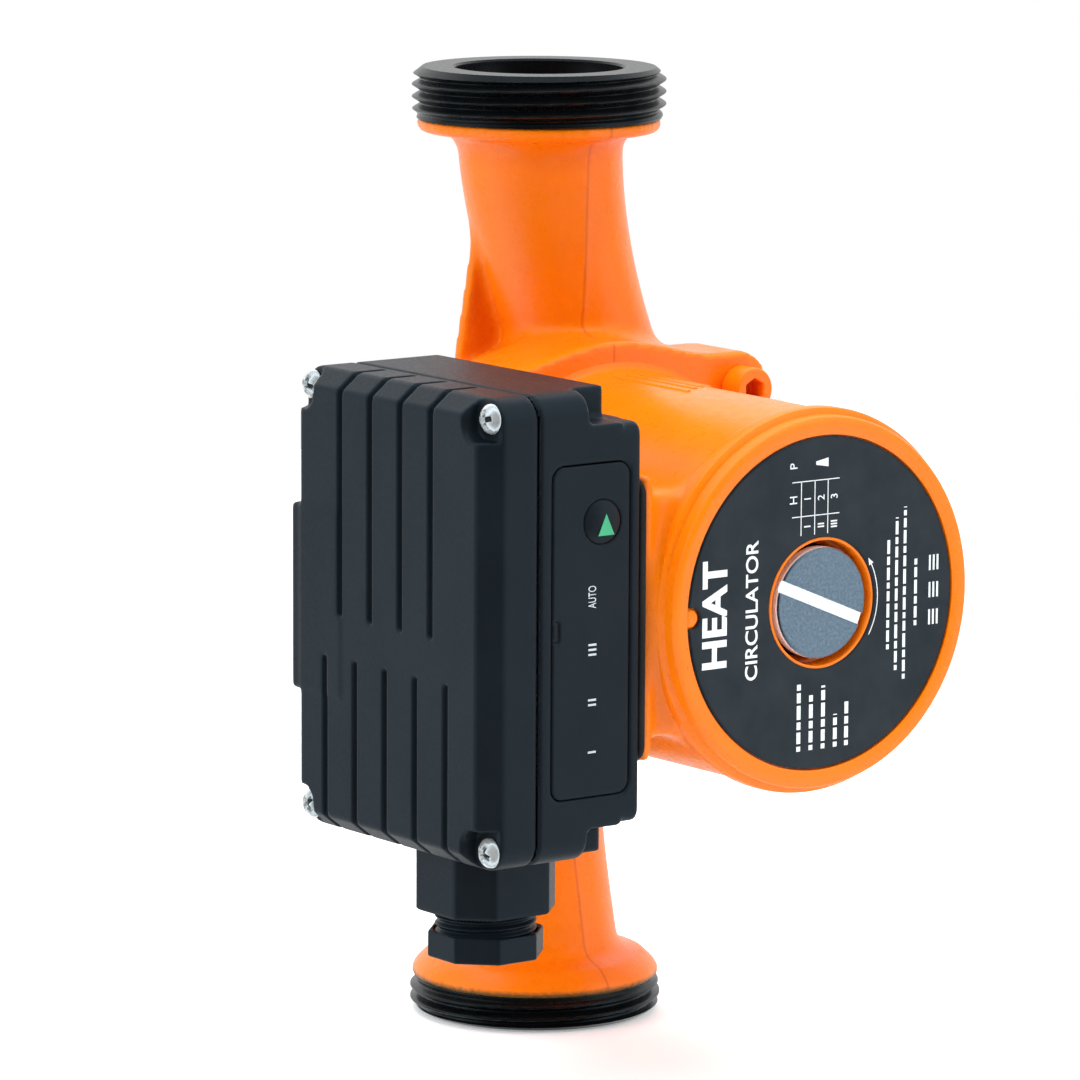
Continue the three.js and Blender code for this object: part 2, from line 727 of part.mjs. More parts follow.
// The bevel between the cover's sides and its front, as rings of the two outlines.
function bevelled(corner, low, high) {
  const shape = inset(BEVEL_INSET, corner);
  const depth = high - low;
  const geometry = new THREE.ExtrudeGeometry(shape, {
    depth: 0.01,
    bevelEnabled: true,
    bevelThickness: depth - 0.02,
    bevelSize: BEVEL_INSET,
    bevelSegments: 1,
    curveSegments: 3,
  });
  geometry.translate(0, 0, low);
  const upperHalf = brick([0, 100], [-60, 60], [low, high], LEFT);
  return solidOf(geometry.applyMatrix4(LEFT)).intersect(upperHalf);
}

function addBoxCover() {
  const grooves = [];
  for (const [count, first, start, side] of GROOVE_ROWS) {
    for (let i = 0; i < count; i += 1) grooves.push(groove(first + i * GROOVE_PITCH, start, side));
  }
  const pockets = [];
  for (const forward of COVER_SCREW_FORWARD) {
    for (const side of [-1, 1]) {
      pockets.push(rod(4.2, POCKET_FLOOR, 80, LEFT, SMALL, [forward, side * COVER_SCREW_HEIGHT]));
    }
  }
  const cover = cut(
    coverBody(), hollow(50, COVER_FRONT - 2.4), ...grooves, ...pockets, coverScrewHoles(1.9, 60, 80),
  );
  place("control_box_cover", BLACK_PLASTIC, cover);
}

function addCoverScrews() {
  let count = 0;
  for (const forward of COVER_SCREW_FORWARD) {
    for (const side of [1, -1]) {
      count += 1;
      const centre = [forward, side * COVER_SCREW_HEIGHT];
      const seat = POCKET_FLOOR + GAP;
      const head = spin(
        [[0, seat], [2.75, seat], [2.75, seat + 0.8], [2.2, seat + 1.6], [1, seat + 2], [0, seat + 2]],
        LEFT,
        SMALL,
        centre,
      );
      const shank = rod(1.2, 53, seat + 0.5, LEFT, COARSE, centre);
      const recess = crossRecess(centre, 1.5, 0.35, seat + 0.9);
      place("cover_screw_" + count, BRIGHT_STEEL, cut(join(head, shank), recess));
    }
  }
}

// ---------- operating panel ----------

function addPanel() {
  const near = BOX_NEAR;
  const plate = cut(
    brick(
      [-PANEL_LEFT[1] + 0.1, -PANEL_LEFT[0] - 0.1],
      [PANEL_HEIGHT[0] + 0.1, PANEL_HEIGHT[1] - 0.1],
      [near - PANEL_DEPTH, near - 0.05],
      FORWARD,
      2.4,
    ),
    rod(BUTTON_RADIUS + 0.25, near - 5, near + 5, FORWARD, 24, [-BUTTON_LEFT, BUTTON_HEIGHT]),
  );
  place("side_panel", BLACK_PLASTIC, plate);
}

function addButton() {
  const near = BOX_NEAR;
  const centre = [-BUTTON_LEFT, BUTTON_HEIGHT];
  const cap = spin(
    [
      [0, near - 4.4], [1.2, near - 4.4], [1.2, near - 2.6], [5, near - 2.6], [5, near - 1.2],
      [BUTTON_RADIUS, near - 1.2], [BUTTON_RADIUS, near + 0.1], [3, near + 0.6], [0, near + 0.8],
    ],
    FORWARD,
    24,
    centre,
  );
  place("control_button", BLACK_PLASTIC, cap);
  const plunger = rod(1.4, near - 7.4, near - 4.5, FORWARD, SMALL, centre);
  place("switch_plunger", WHITE_PLASTIC, plunger);
  const switchBody = cut(
    block(centre, SWITCH_SIZE / 2, SWITCH_SIZE / 2, [near - 9.6, near - 5.8], FORWARD),
    rod(1.7, near - 8.6, near, FORWARD, SMALL, centre),
  );
  place("mode_switch", DARK_RUBBER, switchBody);
}

// A board behind the panel, with a clear guide that carries each lamp's light to its mark.
function addPanelElectronics() {
  const near = BOX_NEAR;
  place("display_board", GREEN_LAMINATE, brick([-57, -43.2], [-29, 27], [near - 11.3, near - 9.7], FORWARD));
  const bars = LAMP_HEIGHTS.map((height) =>
    brick([-50.8, -49], [height - 0.8, height + 0.8], [near - 7.4, near - 1.2], FORWARD),
  );
  const guide = join(brick([-51.2, -48.8], [-25, 6], [near - 8, near - 6.4], FORWARD), ...bars);
  place("light_guide", WHITE_PLASTIC, guide);
  LAMP_HEIGHTS.forEach((height, i) => {
    const lamp = brick([-51, -49], [height - 1, height + 1], [near - 9.6, near - 8.2], FORWARD);
    place("status_led_" + (i + 1), WHITE_PLASTIC, lamp);
  });
}

// ---------- electronics ----------

function addMainBoard() {
  place("circuit_board", GREEN_LAMINATE, brick([31, 71], [-18, 32], [50, 51.6], LEFT));
  const can = [[0, 52], [7.6, 52], [8, 52.5], [8, 66], [7.6, 66.6], [0, 66.6]];
  const capacitor = spin(can, LEFT, ROUND, [42, 20]);
  place("run_capacitor", YELLOW_FILM, capacitor);
  place("film_capacitor", YELLOW_FILM, brick([54, 68], [12, 30], [52, 62], LEFT));
  place("relay", WHITE_PLASTIC, brick([36, 48], [-14, 6], [52, 66], LEFT));
  place("choke", COPPER, tube(3.2, 8, 52, 60, LEFT, ROUND, [62, -2]));
}

function addTerminalBlock() {
  const block = cut(
    brick([40, 68], [-34, -22], [50, 64], LEFT),
    ...TERMINAL_FORWARD.map((forward) => rod(2.9, 57, 70, LEFT, COARSE, [forward, TERMINAL_HEIGHT])),
    ...TERMINAL_FORWARD.map((forward) => brick([forward - 2, forward + 2], [-36, -25], [52, 56], LEFT)),
  );
  place("terminal_block", WHITE_PLASTIC, block);
  TERMINAL_FORWARD.forEach((forward, i) => {
    const screw = cut(
      rod(2.6, 57.2, 62, LEFT, COARSE, [forward, TERMINAL_HEIGHT]),
      brick([forward - 3, forward + 3], [TERMINAL_HEIGHT - 0.4, TERMINAL_HEIGHT + 0.4], [61, 63], LEFT),
    );
    place("terminal_screw_" + (i + 1), BRIGHT_STEEL, screw);
  });
  place("lead_connector", WHITE_PLASTIC, brick([47, 65], [-6, 6], [34, 48], LEFT));
}

// ---------- cable gland ----------

function addGland() {
  const centre = [-GLAND_LEFT, -GLAND_FORWARD];
  place("gland_seal", DARK_RUBBER, tube(4.6, 6, -61.5, -50, UP, 24, centre));
  place("gland_washer", BRIGHT_STEEL, tube(5, 8.6, -62.6, -61.8, UP, 24, centre));
  const nut = cut(
    slab(polygon(8, NUT_FLATS, centre, 0.1), NUT_BOTTOM, NUT_TOP, UP),
    rod(9.5, -62.8, NUT_TOP + 1, UP, 24, centre),
    rod(5.4, NUT_BOTTOM - 1, NUT_TOP + 1, UP, 24, centre),
  );
  place("gland_nut", BLACK_PLASTIC, nut);
}

addCasing();
addWearRing();
addImpeller();
addBearingPlate();
addHousingSeal();
addRotor();
addBearings();
addRotorCan();
addStator();
addMotorHousing();
addHousingBolts();
addLabel();
addVentPlug();
addSealFrame();
addBoxBase();
addBaseScrews();
addCoverGasket();
addBoxCover();
addCoverScrews();
addPanel();
addButton();
addPanelElectronics();
addMainBoard();
addTerminalBlock();
addGland();

// The origin moves to the middle of the casing's back pad, where the motor axis meets it.
assembly.position.y = -BACK_PAD;

const circulatorPump = new THREE.Group();
circulatorPump.add(assembly);

export default circulatorPump;
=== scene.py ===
"""A domestic circulator pump: painted casting and motor, black control box, label, vent plug and cable gland.

Shapes are written in millimetres from the pipe axis: x to the right, "forward" along the motor axis
towards the vent plug, and z up. pump_point() turns them into the frame's metres.
Cast and moulded pieces are distance fields, blended as a casting's fillets are, and then skinned.
"""

import json
import math

import bpy
import numpy as np
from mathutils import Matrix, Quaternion, Vector


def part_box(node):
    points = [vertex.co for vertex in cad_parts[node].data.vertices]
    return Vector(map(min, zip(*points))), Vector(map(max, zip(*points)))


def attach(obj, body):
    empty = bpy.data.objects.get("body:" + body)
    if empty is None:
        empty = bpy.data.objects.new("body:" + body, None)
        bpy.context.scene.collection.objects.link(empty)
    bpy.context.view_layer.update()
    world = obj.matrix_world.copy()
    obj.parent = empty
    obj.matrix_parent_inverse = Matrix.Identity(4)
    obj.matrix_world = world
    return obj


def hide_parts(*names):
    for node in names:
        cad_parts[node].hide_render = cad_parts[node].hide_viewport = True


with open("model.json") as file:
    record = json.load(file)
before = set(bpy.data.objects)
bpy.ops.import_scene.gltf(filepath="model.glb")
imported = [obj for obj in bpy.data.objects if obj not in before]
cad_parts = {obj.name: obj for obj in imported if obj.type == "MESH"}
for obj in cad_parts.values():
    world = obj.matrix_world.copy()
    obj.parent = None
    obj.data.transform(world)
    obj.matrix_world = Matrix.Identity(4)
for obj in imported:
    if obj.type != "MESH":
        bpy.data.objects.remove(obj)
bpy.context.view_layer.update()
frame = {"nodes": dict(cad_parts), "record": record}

MM = 0.001
TURN = 2 * math.pi
MOUNTS = {mount["name"]: mount for mount in frame["record"]["mounts"]}


def cad_box(node):
    """A CAD node's box in this script's units, as (x, forward, z) ranges."""
    low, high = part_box(node)
    pipe_y = MOUNTS["outlet_face"]["pos_m"][1]
    return (
        (low.x / MM, high.x / MM),
        ((pipe_y - high.y) / MM, (pipe_y - low.y) / MM),
        (low.z / MM, high.z / MM),
    )


CASING = cad_box("pump_body")
HOUSING = cad_box("motor_housing")
BASE = cad_box("control_box_base")
COVER = cad_box("control_box_cover")
PANEL = cad_box("side_panel")
LABEL = cad_box("label_disc")
PLUG = cad_box("vent_plug")
NUT = cad_box("gland_nut")
BUTTON = cad_box("control_button")
SEAL = cad_box("box_seal_frame")

PIPE_Y = MOUNTS["outlet_face"]["pos_m"][1] / MM
HALF_LENGTH = CASING[2][1]
FLANGE_FRONT = 23.8
FLANGE_RADIUS = HOUSING[0][1]
SPLIT = CASING[1][1]
LUG_BACK = 6.0
LUG_HALF = 36.4
LUG_CORNER = 6.5


# ---------- frame and mesh helpers ----------

def pump_point(points):
    """(x, forward, z) in millimetres to the frame's metres."""
    points = np.asarray(points, float)
    moved = points.copy()
    moved[..., 1] = PIPE_Y - points[..., 1]
    return moved * MM


def finish_piece(name, mesh, body, material, nodes=(), smooth_angle=None):
    """Puts a mesh in the scene on its body, in place of the CAD nodes named."""
    piece = bpy.data.objects.new(name, mesh)
    bpy.context.collection.objects.link(piece)
    mesh.materials.append(material)
    mesh.shade_smooth()
    if smooth_angle is not None:
        mesh.set_sharp_from_angle(angle=math.radians(smooth_angle))
    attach(piece, body)
    if nodes:
        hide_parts(*nodes)
    return piece


def mesh_of(name, points, faces):
    """A closed mesh from points in this script's units, its faces turned outwards."""
    mesh = bpy.data.meshes.new(name)
    mesh.from_pydata(pump_point(points).tolist(), [], [list(face) for face in faces])
    mesh.validate()
    mesh.calc_loop_triangles()
    corners = np.array([triangle.vertices for triangle in mesh.loop_triangles])
    places = np.array([vertex.co for vertex in mesh.vertices])[corners]
    volume = np.einsum("ij,ij->i", places[:, 0], np.cross(places[:, 1], places[:, 2])).sum()
    if volume < 0:
        mesh.flip_normals()
    mesh.update()
    return mesh


# ---------- distance fields ----------

class Grid:
    """A block of sample points, a little larger than the piece."""

    def __init__(self, x, forward, z, step):
        margin = 3 * step
        ranges = (x, forward, z)
        spans = [np.arange(low - margin, high + margin, step, dtype=np.float32) for low, high in ranges]
        self.x, self.f, self.z = np.meshgrid(*spans, indexing="ij", sparse=True)
        self.low = np.array([span[0] for span in spans])
        self.step = step


def union(*fields):
    result = fields[0]
    for field in fields[1:]:
        result = np.minimum(result, field)
    return result


def blend(first, second, reach):
    """A union with a fillet of about this reach."""
    h = np.clip(0.5 + 0.5 * (second - first) / reach, 0, 1)
    return second + (first - second) * h - reach * h * (1 - h)


def carve(solid, tool, reach=0.0):
    """The solid less the tool, with a rounded edge of about this reach."""
    if reach == 0.0:
        return np.maximum(solid, -tool)
    return -blend(-solid, tool, reach)


def common(first, second, reach=0.0):
    if reach == 0.0:
        return np.maximum(first, second)
    return -blend(-first, -second, reach)


def block(g, x, forward, z, corner=0.0):
    """A box between ranges, all its edges rounded by corner."""
    outside, inside = 0.0, None
    for axis, (low, high) in ((g.x, x), (g.f, forward), (g.z, z)):
        q = np.abs(axis - (low + high) / 2) - (high - low) / 2 + corner
        outside = outside + np.maximum(q, 0) ** 2
        inside = q if inside is None else np.maximum(inside, q)
    return np.sqrt(outside) + np.minimum(inside, 0) - corner


def rounded_plan(u, v, u_range, v_range, corner):
    """The flat distance to a rounded rectangle."""
    qu = np.abs(u - sum(u_range) / 2) - (u_range[1] - u_range[0]) / 2 + corner
    qv = np.abs(v - sum(v_range) / 2) - (v_range[1] - v_range[0]) / 2 + corner
    return np.hypot(np.maximum(qu, 0), np.maximum(qv, 0)) + np.minimum(np.maximum(qu, qv), 0) - corner


def between(axis, low, high):
    return np.abs(axis - (low + high) / 2) - (high - low) / 2


def raised(plan, axis, low, high, edge):
    """A flat shape raised between two planes, with rounded rims."""
    q = between(axis, low, high) + edge
    p = plan + edge
    return np.hypot(np.maximum(p, 0), np.maximum(q, 0)) + np.minimum(np.maximum(p, q), 0) - edge


def polygon_plan(u, v, centre, flats, sides, turned=0.0):
    """The flat distance to a regular polygon of this width across flats."""
    result = None
    for i in range(sides):
        angle = turned + TURN * i / sides
        side = (u - centre[0]) * math.cos(angle) + (v - centre[1]) * math.sin(angle) - flats / 2
        result = side if result is None else np.maximum(result, side)
    return result


def turned_shape(radius, height, outline):
    """The distance to a turned shape: a closed outline of (radius, height) points."""
    best, parity = None, None
    for (ax, ay), (bx, by) in zip(outline, outline[1:] + outline[:1]):
        ex, ey = bx - ax, by - ay
        wx, wy = radius - ax, height - ay
        t = np.clip((wx * ex + wy * ey) / (ex * ex + ey * ey), 0, 1)
        distance = (wx - ex * t) ** 2 + (wy - ey * t) ** 2
        best = distance if best is None else np.minimum(best, distance)
        if ay != by:
            crosses = ((ay > height) != (by > height)) & (radius < ex * (height - ay) / ey + ax)
            parity = crosses if parity is None else parity ^ crosses
    return np.where(parity, -1, 1) * np.sqrt(best)


def hose(g, stations, reach):
    """Round cones from station to station of (x, forward, z, radius)."""
    result = None
    for (ax, af, az, ar), (bx, bf, bz, br) in zip(stations, stations[1:]):
        ex, ef, ez = bx - ax, bf - af, bz - az
        along = ((g.x - ax) * ex + (g.f - af) * ef + (g.z - az) * ez) / (ex * ex + ef * ef + ez * ez)
        t = np.clip(along, 0, 1)
        away = np.sqrt((g.x - ax - ex * t) ** 2 + (g.f - af - ef * t) ** 2 + (g.z - az - ez * t) ** 2)
        cone = away - (ar + (br - ar) * t)
        result = cone if result is None else blend(result, cone, reach)
    return result


def skin(grid, field):
    """The zero surface of a field as quads, one vertex to each cell it passes through."""
    shape = np.array(field.shape)
    cells, points, quads = [], [], []
    for axis in range(3):
        u, v = (axis + 1) % 3, (axis + 2) % 3
        first = field[tuple(slice(0, -1) if i == axis else slice(None) for i in range(3))]
        second = field[tuple(slice(1, None) if i == axis else slice(None) for i in range(3))]
        at = np.argwhere((first < 0) != (second < 0))
        a, b = first[tuple(at.T)], second[tuple(at.T)]
        point = at.astype(float)
        point[:, axis] += a / (a - b)
        ring = []
        for du, dv in ((0, 0), (1, 0), (1, 1), (0, 1)):
            cell = at.copy()
            cell[:, u] -= du
            cell[:, v] -= dv
            ring.append(np.ravel_multi_index(cell.T, shape))
            cells.append(ring[-1])
            points.append(point)
        ring = np.stack(ring, 1)
        ring[a > 0] = ring[a > 0][:, ::-1]
        quads.append(ring)
    ids, inverse = np.unique(np.concatenate(cells), return_inverse=True)
    points = np.concatenate(points)
    count = np.bincount(inverse)
    vertices = np.stack([np.bincount(inverse, weights=points[:, i]) / count for i in range(3)], 1)
    faces = np.searchsorted(ids, np.concatenate(quads))
    return vertices * grid.step + grid.low, faces.tolist()


def relax(points, faces, rounds):
    """Even out the grid's ripple: each round smooths, then swells back by as much."""
    quads = np.array(faces)
    ends = np.concatenate([quads[:, (i, (i + 1) % 4)] for i in range(4)])
    ends = np.concatenate([ends, ends[:, ::-1]])
    count = np.bincount(ends[:, 0], minlength=len(points))[:, None]
    for share in (0.5, -0.52) * rounds:
        near = np.stack([
            np.bincount(ends[:, 0], weights=points[ends[:, 1], i], minlength=len(points)) for i in range(3)
        ], 1)
        points = points + share * (near / count - points)
    return points


def skinned(name, grid, field, body, material, nodes=(), smooth_angle=None, rounds=0):
    points, faces = skin(grid, field)
    mesh = mesh_of(name, relax(points, faces, rounds), faces)
    return finish_piece(name, mesh, body, material, nodes, smooth_angle)


# ---------- materials ----------

class Shader:
    """A node material in object coordinates, with short names for its common nodes."""

    def __init__(self, name):
        self.material = bpy.data.materials.new(name)
        self.material.use_nodes = True
        self.tree = self.material.node_tree
        self.surface = self.tree.nodes["Principled BSDF"]
        self.place = self.node("ShaderNodeTexCoord").outputs["Object"]

    def node(self, kind, **values):
        made = self.tree.nodes.new(kind)
        for key, value in values.items():
            setattr(made, key, value)
        return made

    def join(self, source, target):
        self.tree.links.new(source, target)

    def noise(self, size_mm, detail=3.0, roughness=0.5, stretch=(1, 1, 1)):
        mapping = self.node("ShaderNodeMapping")
        mapping.inputs["Scale"].default_value = stretch
        self.join(self.place, mapping.inputs["Vector"])
        texture = self.node("ShaderNodeTexNoise")
        texture.inputs["Scale"].default_value = 1 / (size_mm * MM)
        texture.inputs["Detail"].default_value = detail
        texture.inputs["Roughness"].default_value = roughness
        self.join(mapping.outputs["Vector"], texture.inputs["Vector"])
        return texture.outputs["Fac"]

    def spread(self, source, low, high, from_low=0.3, from_high=0.7):
        ranged = self.node("ShaderNodeMapRange")
        ranged.inputs["From Min"].default_value = from_low
        ranged.inputs["From Max"].default_value = from_high
        ranged.inputs["To Min"].default_value = low
        ranged.inputs["To Max"].default_value = high
        self.join(source, ranged.inputs["Value"])
        return ranged.outputs["Result"]

    def mix(self, factor, first, second):
        mixed = self.node("ShaderNodeMix", data_type="RGBA")
        self.join(factor, mixed.inputs["Factor"])
        for colour, socket in ((first, mixed.inputs[6]), (second, mixed.inputs[7])):
            if isinstance(colour, tuple):
                socket.default_value = (*colour, 1)
            else:
                self.join(colour, socket)
        return mixed.outputs[2]

    def bump(self, *layers):
        """Layers of (height output, depth in mm), from the coarsest to the finest."""
        normal = None
        for height, depth in layers:
            made = self.node("ShaderNodeBump")
            made.inputs["Strength"].default_value = 1.0
            made.inputs["Distance"].default_value = depth * MM
            self.join(height, made.inputs["Height"])
            if normal is not None:
                self.join(normal, made.inputs["Normal"])
            normal = made.outputs["Normal"]
        self.join(normal, self.surface.inputs["Normal"])

    def colour(self, socket):
        self.join(socket, self.surface.inputs["Base Color"])

    def roughness(self, socket):
        self.join(socket, self.surface.inputs["Roughness"])

    def set(self, **values):
        for key, value in values.items():
            self.surface.inputs[key.replace("_", " ")].default_value = value


ORANGE = (0.86, 0.182, 0.0016)
ORANGE_DEEP = (0.84, 0.170, 0.0014)
THREAD_BLACK = (0.0018, 0.0021, 0.0024)


def casting_paint(name, grain_mm, grain_depth, peel_depth):
    """Sprayed gloss paint: the casting's grain below and a fine orange peel on top."""
    s = Shader(name)
    s.colour(s.mix(s.spread(s.noise(9.0), 0, 1), ORANGE_DEEP, ORANGE))
    s.roughness(s.spread(s.noise(2.5), 0.24, 0.36))
    s.bump((s.noise(grain_mm, 4.0, 0.55), grain_depth), (s.noise(0.45, 2.0), peel_depth))
    s.set(Specular_IOR_Level=0.42)
    return s


def casing_paint():
    """The casing's paint ends in black overspray at the two thread collars."""
    s = casting_paint("casing_paint", 1.3, 0.10, 0.015)
    split = s.node("ShaderNodeSeparateXYZ")
    s.join(s.place, split.inputs["Vector"])
    wander = s.spread(s.noise(0.9, 4.0), -0.14 * MM, 0.14 * MM)
    height = s.node("ShaderNodeMath", operation="ADD")
    s.join(split.outputs["Z"], height.inputs[0])
    s.join(wander, height.inputs[1])
    upper = s.spread(height.outputs[0], 0, 1, 79.9 * MM, 80.6 * MM)
    lower = s.spread(height.outputs[0], 1, 0, -83.2 * MM, -82.3 * MM)
    edge = s.node("ShaderNodeMath", operation="MAXIMUM")
    s.join(upper, edge.inputs[0])
    s.join(lower, edge.inputs[1])
    painted = s.surface.inputs["Base Color"].links[0].from_socket
    seam = s.node("ShaderNodeMath", operation="ABSOLUTE")
    s.join(split.outputs["X"], seam.inputs[0])
    lined = s.mix(s.spread(seam.outputs[0], 0.55, 0, 0.12 * MM, 0.40 * MM), painted, (0.50, 0.070, 0.001))
    s.colour(s.mix(edge.outputs[0], lined, (0.13, 0.058, 0.006)))
    return s.material


def plastic(name, base, light, size_mm, depth, rough, gloss=0.5):
    s = Shader(name)
    s.set(Specular_IOR_Level=gloss)
    s.colour(s.mix(s.spread(s.noise(14.0, 2.0), 0, 1), base, light))
    s.roughness(s.spread(s.noise(0.6), rough - 0.05, rough + 0.06))
    s.bump((s.noise(size_mm, 2.0), depth))
    return s.material


def metal(name, base, rough, grain_mm, depth, stretch=(1, 1, 1), metallic=1.0):
    s = Shader(name)
    darker = tuple(0.8 * c for c in base)
    s.colour(s.mix(s.spread(s.noise(3.0), 0, 1), darker, base))
    s.roughness(s.spread(s.noise(0.8), rough * 0.8, rough * 1.3))
    s.bump((s.noise(grain_mm, 3.0, 0.5, stretch), depth))
    s.set(Metallic=metallic)
    return s.material


def faced_steel():
    """A plug faced on a lathe: fine rings about the motor axis. Below its face the plug is coloured
    near-white and non-metallic as a painted highlight.
    """
    s = Shader("faced_steel")
    split = s.node("ShaderNodeSeparateXYZ")
    s.join(s.place, split.inputs["Vector"])
    flat = s.node("ShaderNodeCombineXYZ")
    s.join(split.outputs["X"], flat.inputs["X"])
    s.join(split.outputs["Z"], flat.inputs["Y"])
    rings = s.node("ShaderNodeTexWave", wave_type="RINGS", rings_direction="SPHERICAL")
    rings.inputs["Scale"].default_value = 420.0
    rings.inputs["Distortion"].default_value = 1.2
    s.join(flat.outputs["Vector"], rings.inputs["Vector"])
    face_y = (PIPE_Y - LABEL[1][1]) * MM
    # Painted highlight: below the face, the plug's side and slot floor are made near-white and not metallic,
    # standing in for the bright reflection they catch. On the slot floor this is partly its brighter milled
    # finish.
    below = s.spread(split.outputs["Y"], 0, 1, face_y + 0.15 * MM, face_y + 0.3 * MM)
    face = s.mix(s.spread(s.noise(0.5, 2.0), 0, 1), (0.28, 0.32, 0.37), (0.42, 0.46, 0.51))
    s.colour(s.mix(below, face, (0.90, 0.93, 0.95)))
    s.join(s.spread(below, 1, 0, 0, 1), s.surface.inputs["Metallic"])
    s.roughness(s.spread(s.noise(0.7), 0.26, 0.38))
    s.bump((s.noise(0.35), 0.006), (rings.outputs["Fac"], 0.008))
    return s.material


def label_film():
    s = Shader("label_film")
    s.colour(s.mix(s.spread(s.noise(7.0), 0, 1), (0.010, 0.0125, 0.015), (0.017, 0.020, 0.024)))
    s.roughness(s.spread(s.noise(1.5), 0.13, 0.22))
    s.bump((s.noise(5.0, 2.0), 0.02))
    s.set(Specular_IOR_Level=0.35)
    return s.material


CASING_PAINT = casing_paint()
HOUSING_PAINT = casting_paint("housing_paint", 0.9, 0.035, 0.012).material
BOLT_PAINT = casting_paint("bolt_paint", 0.7, 0.03, 0.012).material
THREAD_FINISH = plastic("thread_finish", THREAD_BLACK, (0.0035, 0.004, 0.0045), 0.8, 0.003, 0.30, 0.38)
BLACK_PLASTIC = plastic(
    "black_plastic", (0.0048, 0.0084, 0.0122), (0.0060, 0.0102, 0.0146), 0.22, 0.014, 0.44, 0.35,
)
PANEL_PLASTIC = plastic(
    "panel_plastic", (0.0058, 0.0088, 0.0118), (0.0072, 0.0106, 0.0140), 0.16, 0.010, 0.42, 0.35,
)
RUBBER = plastic("rubber", (0.010, 0.010, 0.011), (0.016, 0.016, 0.017), 0.35, 0.03, 0.75)
PRINT_WHITE = plastic("print_white", (0.80, 0.81, 0.82), (0.86, 0.87, 0.88), 0.4, 0.004, 0.45)
PRINT_GREY = plastic("print_grey", (0.48, 0.52, 0.54), (0.56, 0.60, 0.62), 0.4, 0.004, 0.45)
PRINT_GREEN = plastic("print_green", (0.045, 0.36, 0.17), (0.06, 0.42, 0.20), 0.4, 0.004, 0.45)
CHROME = metal("chrome", (0.86, 0.87, 0.88), 0.10, 0.5, 0.006)
ZINC = metal("zinc", (0.92, 0.92, 0.90), 0.12, 0.7, 0.006, (1, 1, 1), 0.72)
PLUG_STEEL = faced_steel()
LABEL_FILM = label_film()


# ---------- casing ----------

NECK_TOP = 77.0
PORT_BORE = 12.7
CHAMBER_RADIUS = 34.0
FLANGE_TUCK = 0.2  # the casing's lugs sit this far inside the housing's, so that paint covers the joint


def flange(g, low, high):
    """The round flange with its four square lugs."""
    disc = np.hypot(g.x, g.z) - FLANGE_RADIUS
    lugs = None
    for side_x in (-1, 1):
        for side_z in (-1, 1):
            x_range = tuple(sorted((0, side_x * LUG_HALF)))
            z_range = tuple(sorted((0, side_z * LUG_HALF)))
            lug = rounded_plan(g.x, g.z, x_range, z_range, LUG_CORNER)
            lugs = lug if lugs is None else np.minimum(lugs, lug)
    return raised(blend(disc, lugs, 4.0), g.f, low, high, 1.0)


def collar_outline(sign):
    """The painted part of a union collar, up to where its thread starts."""
    if sign > 0:
        return [
            (0, 72), (15.2, 75.4), (17.0, 77.2), (22.1, 78.0), (22.8, 78.7), (22.8, 80.3), (22.0, 80.6),
            (0, 80.6),
        ]
    return [
        (0, -70), (15.2, -77.4), (20.8, -79.4), (22.9, -81.4), (23.5, -82.4), (23.4, -83.7), (22.0, -84.0),
        (0, -84.0),
    ]


def outlet_neck(g):
    """The neck leans from the volute's side up to the pipe axis; its right half is cast a little thinner."""
    lean = np.clip((NECK_TOP - g.z) / (NECK_TOP - 39), 0, 1.6)
    centre_x = 0.4 + 8.1 * lean ** 1.75
    centre_f = 1.2 * lean ** 2
    radius = 14.6 + 1.1 * (1 - np.clip(lean, 0, 1)) ** 1.5
    around = np.hypot(g.x - centre_x, g.f - centre_f) - radius
    around = around + 0.22 * np.clip(g.x / 0.8 + 0.5, 0, 1)
    return np.maximum(0.95 * around, between(g.z, 16, NECK_TOP + 1))


def inlet_neck(g):
    """The inlet leans back from the pipe axis, to reach the impeller's eye from behind."""
    lean = np.clip((NECK_TOP + g.z) / (NECK_TOP - 34), 0, 1.2)
    centre_f = -8.0 * lean ** 1.3
    radius = 14.8 + 0.9 * np.clip(1 - 2.2 * lean, 0, 1) ** 2 + 0.8 * np.clip(lean - 0.4, 0, 1)
    around = np.hypot(g.x, g.f - centre_f) - radius
    return np.maximum(0.97 * around, between(g.z, -NECK_TOP - 1, -18))


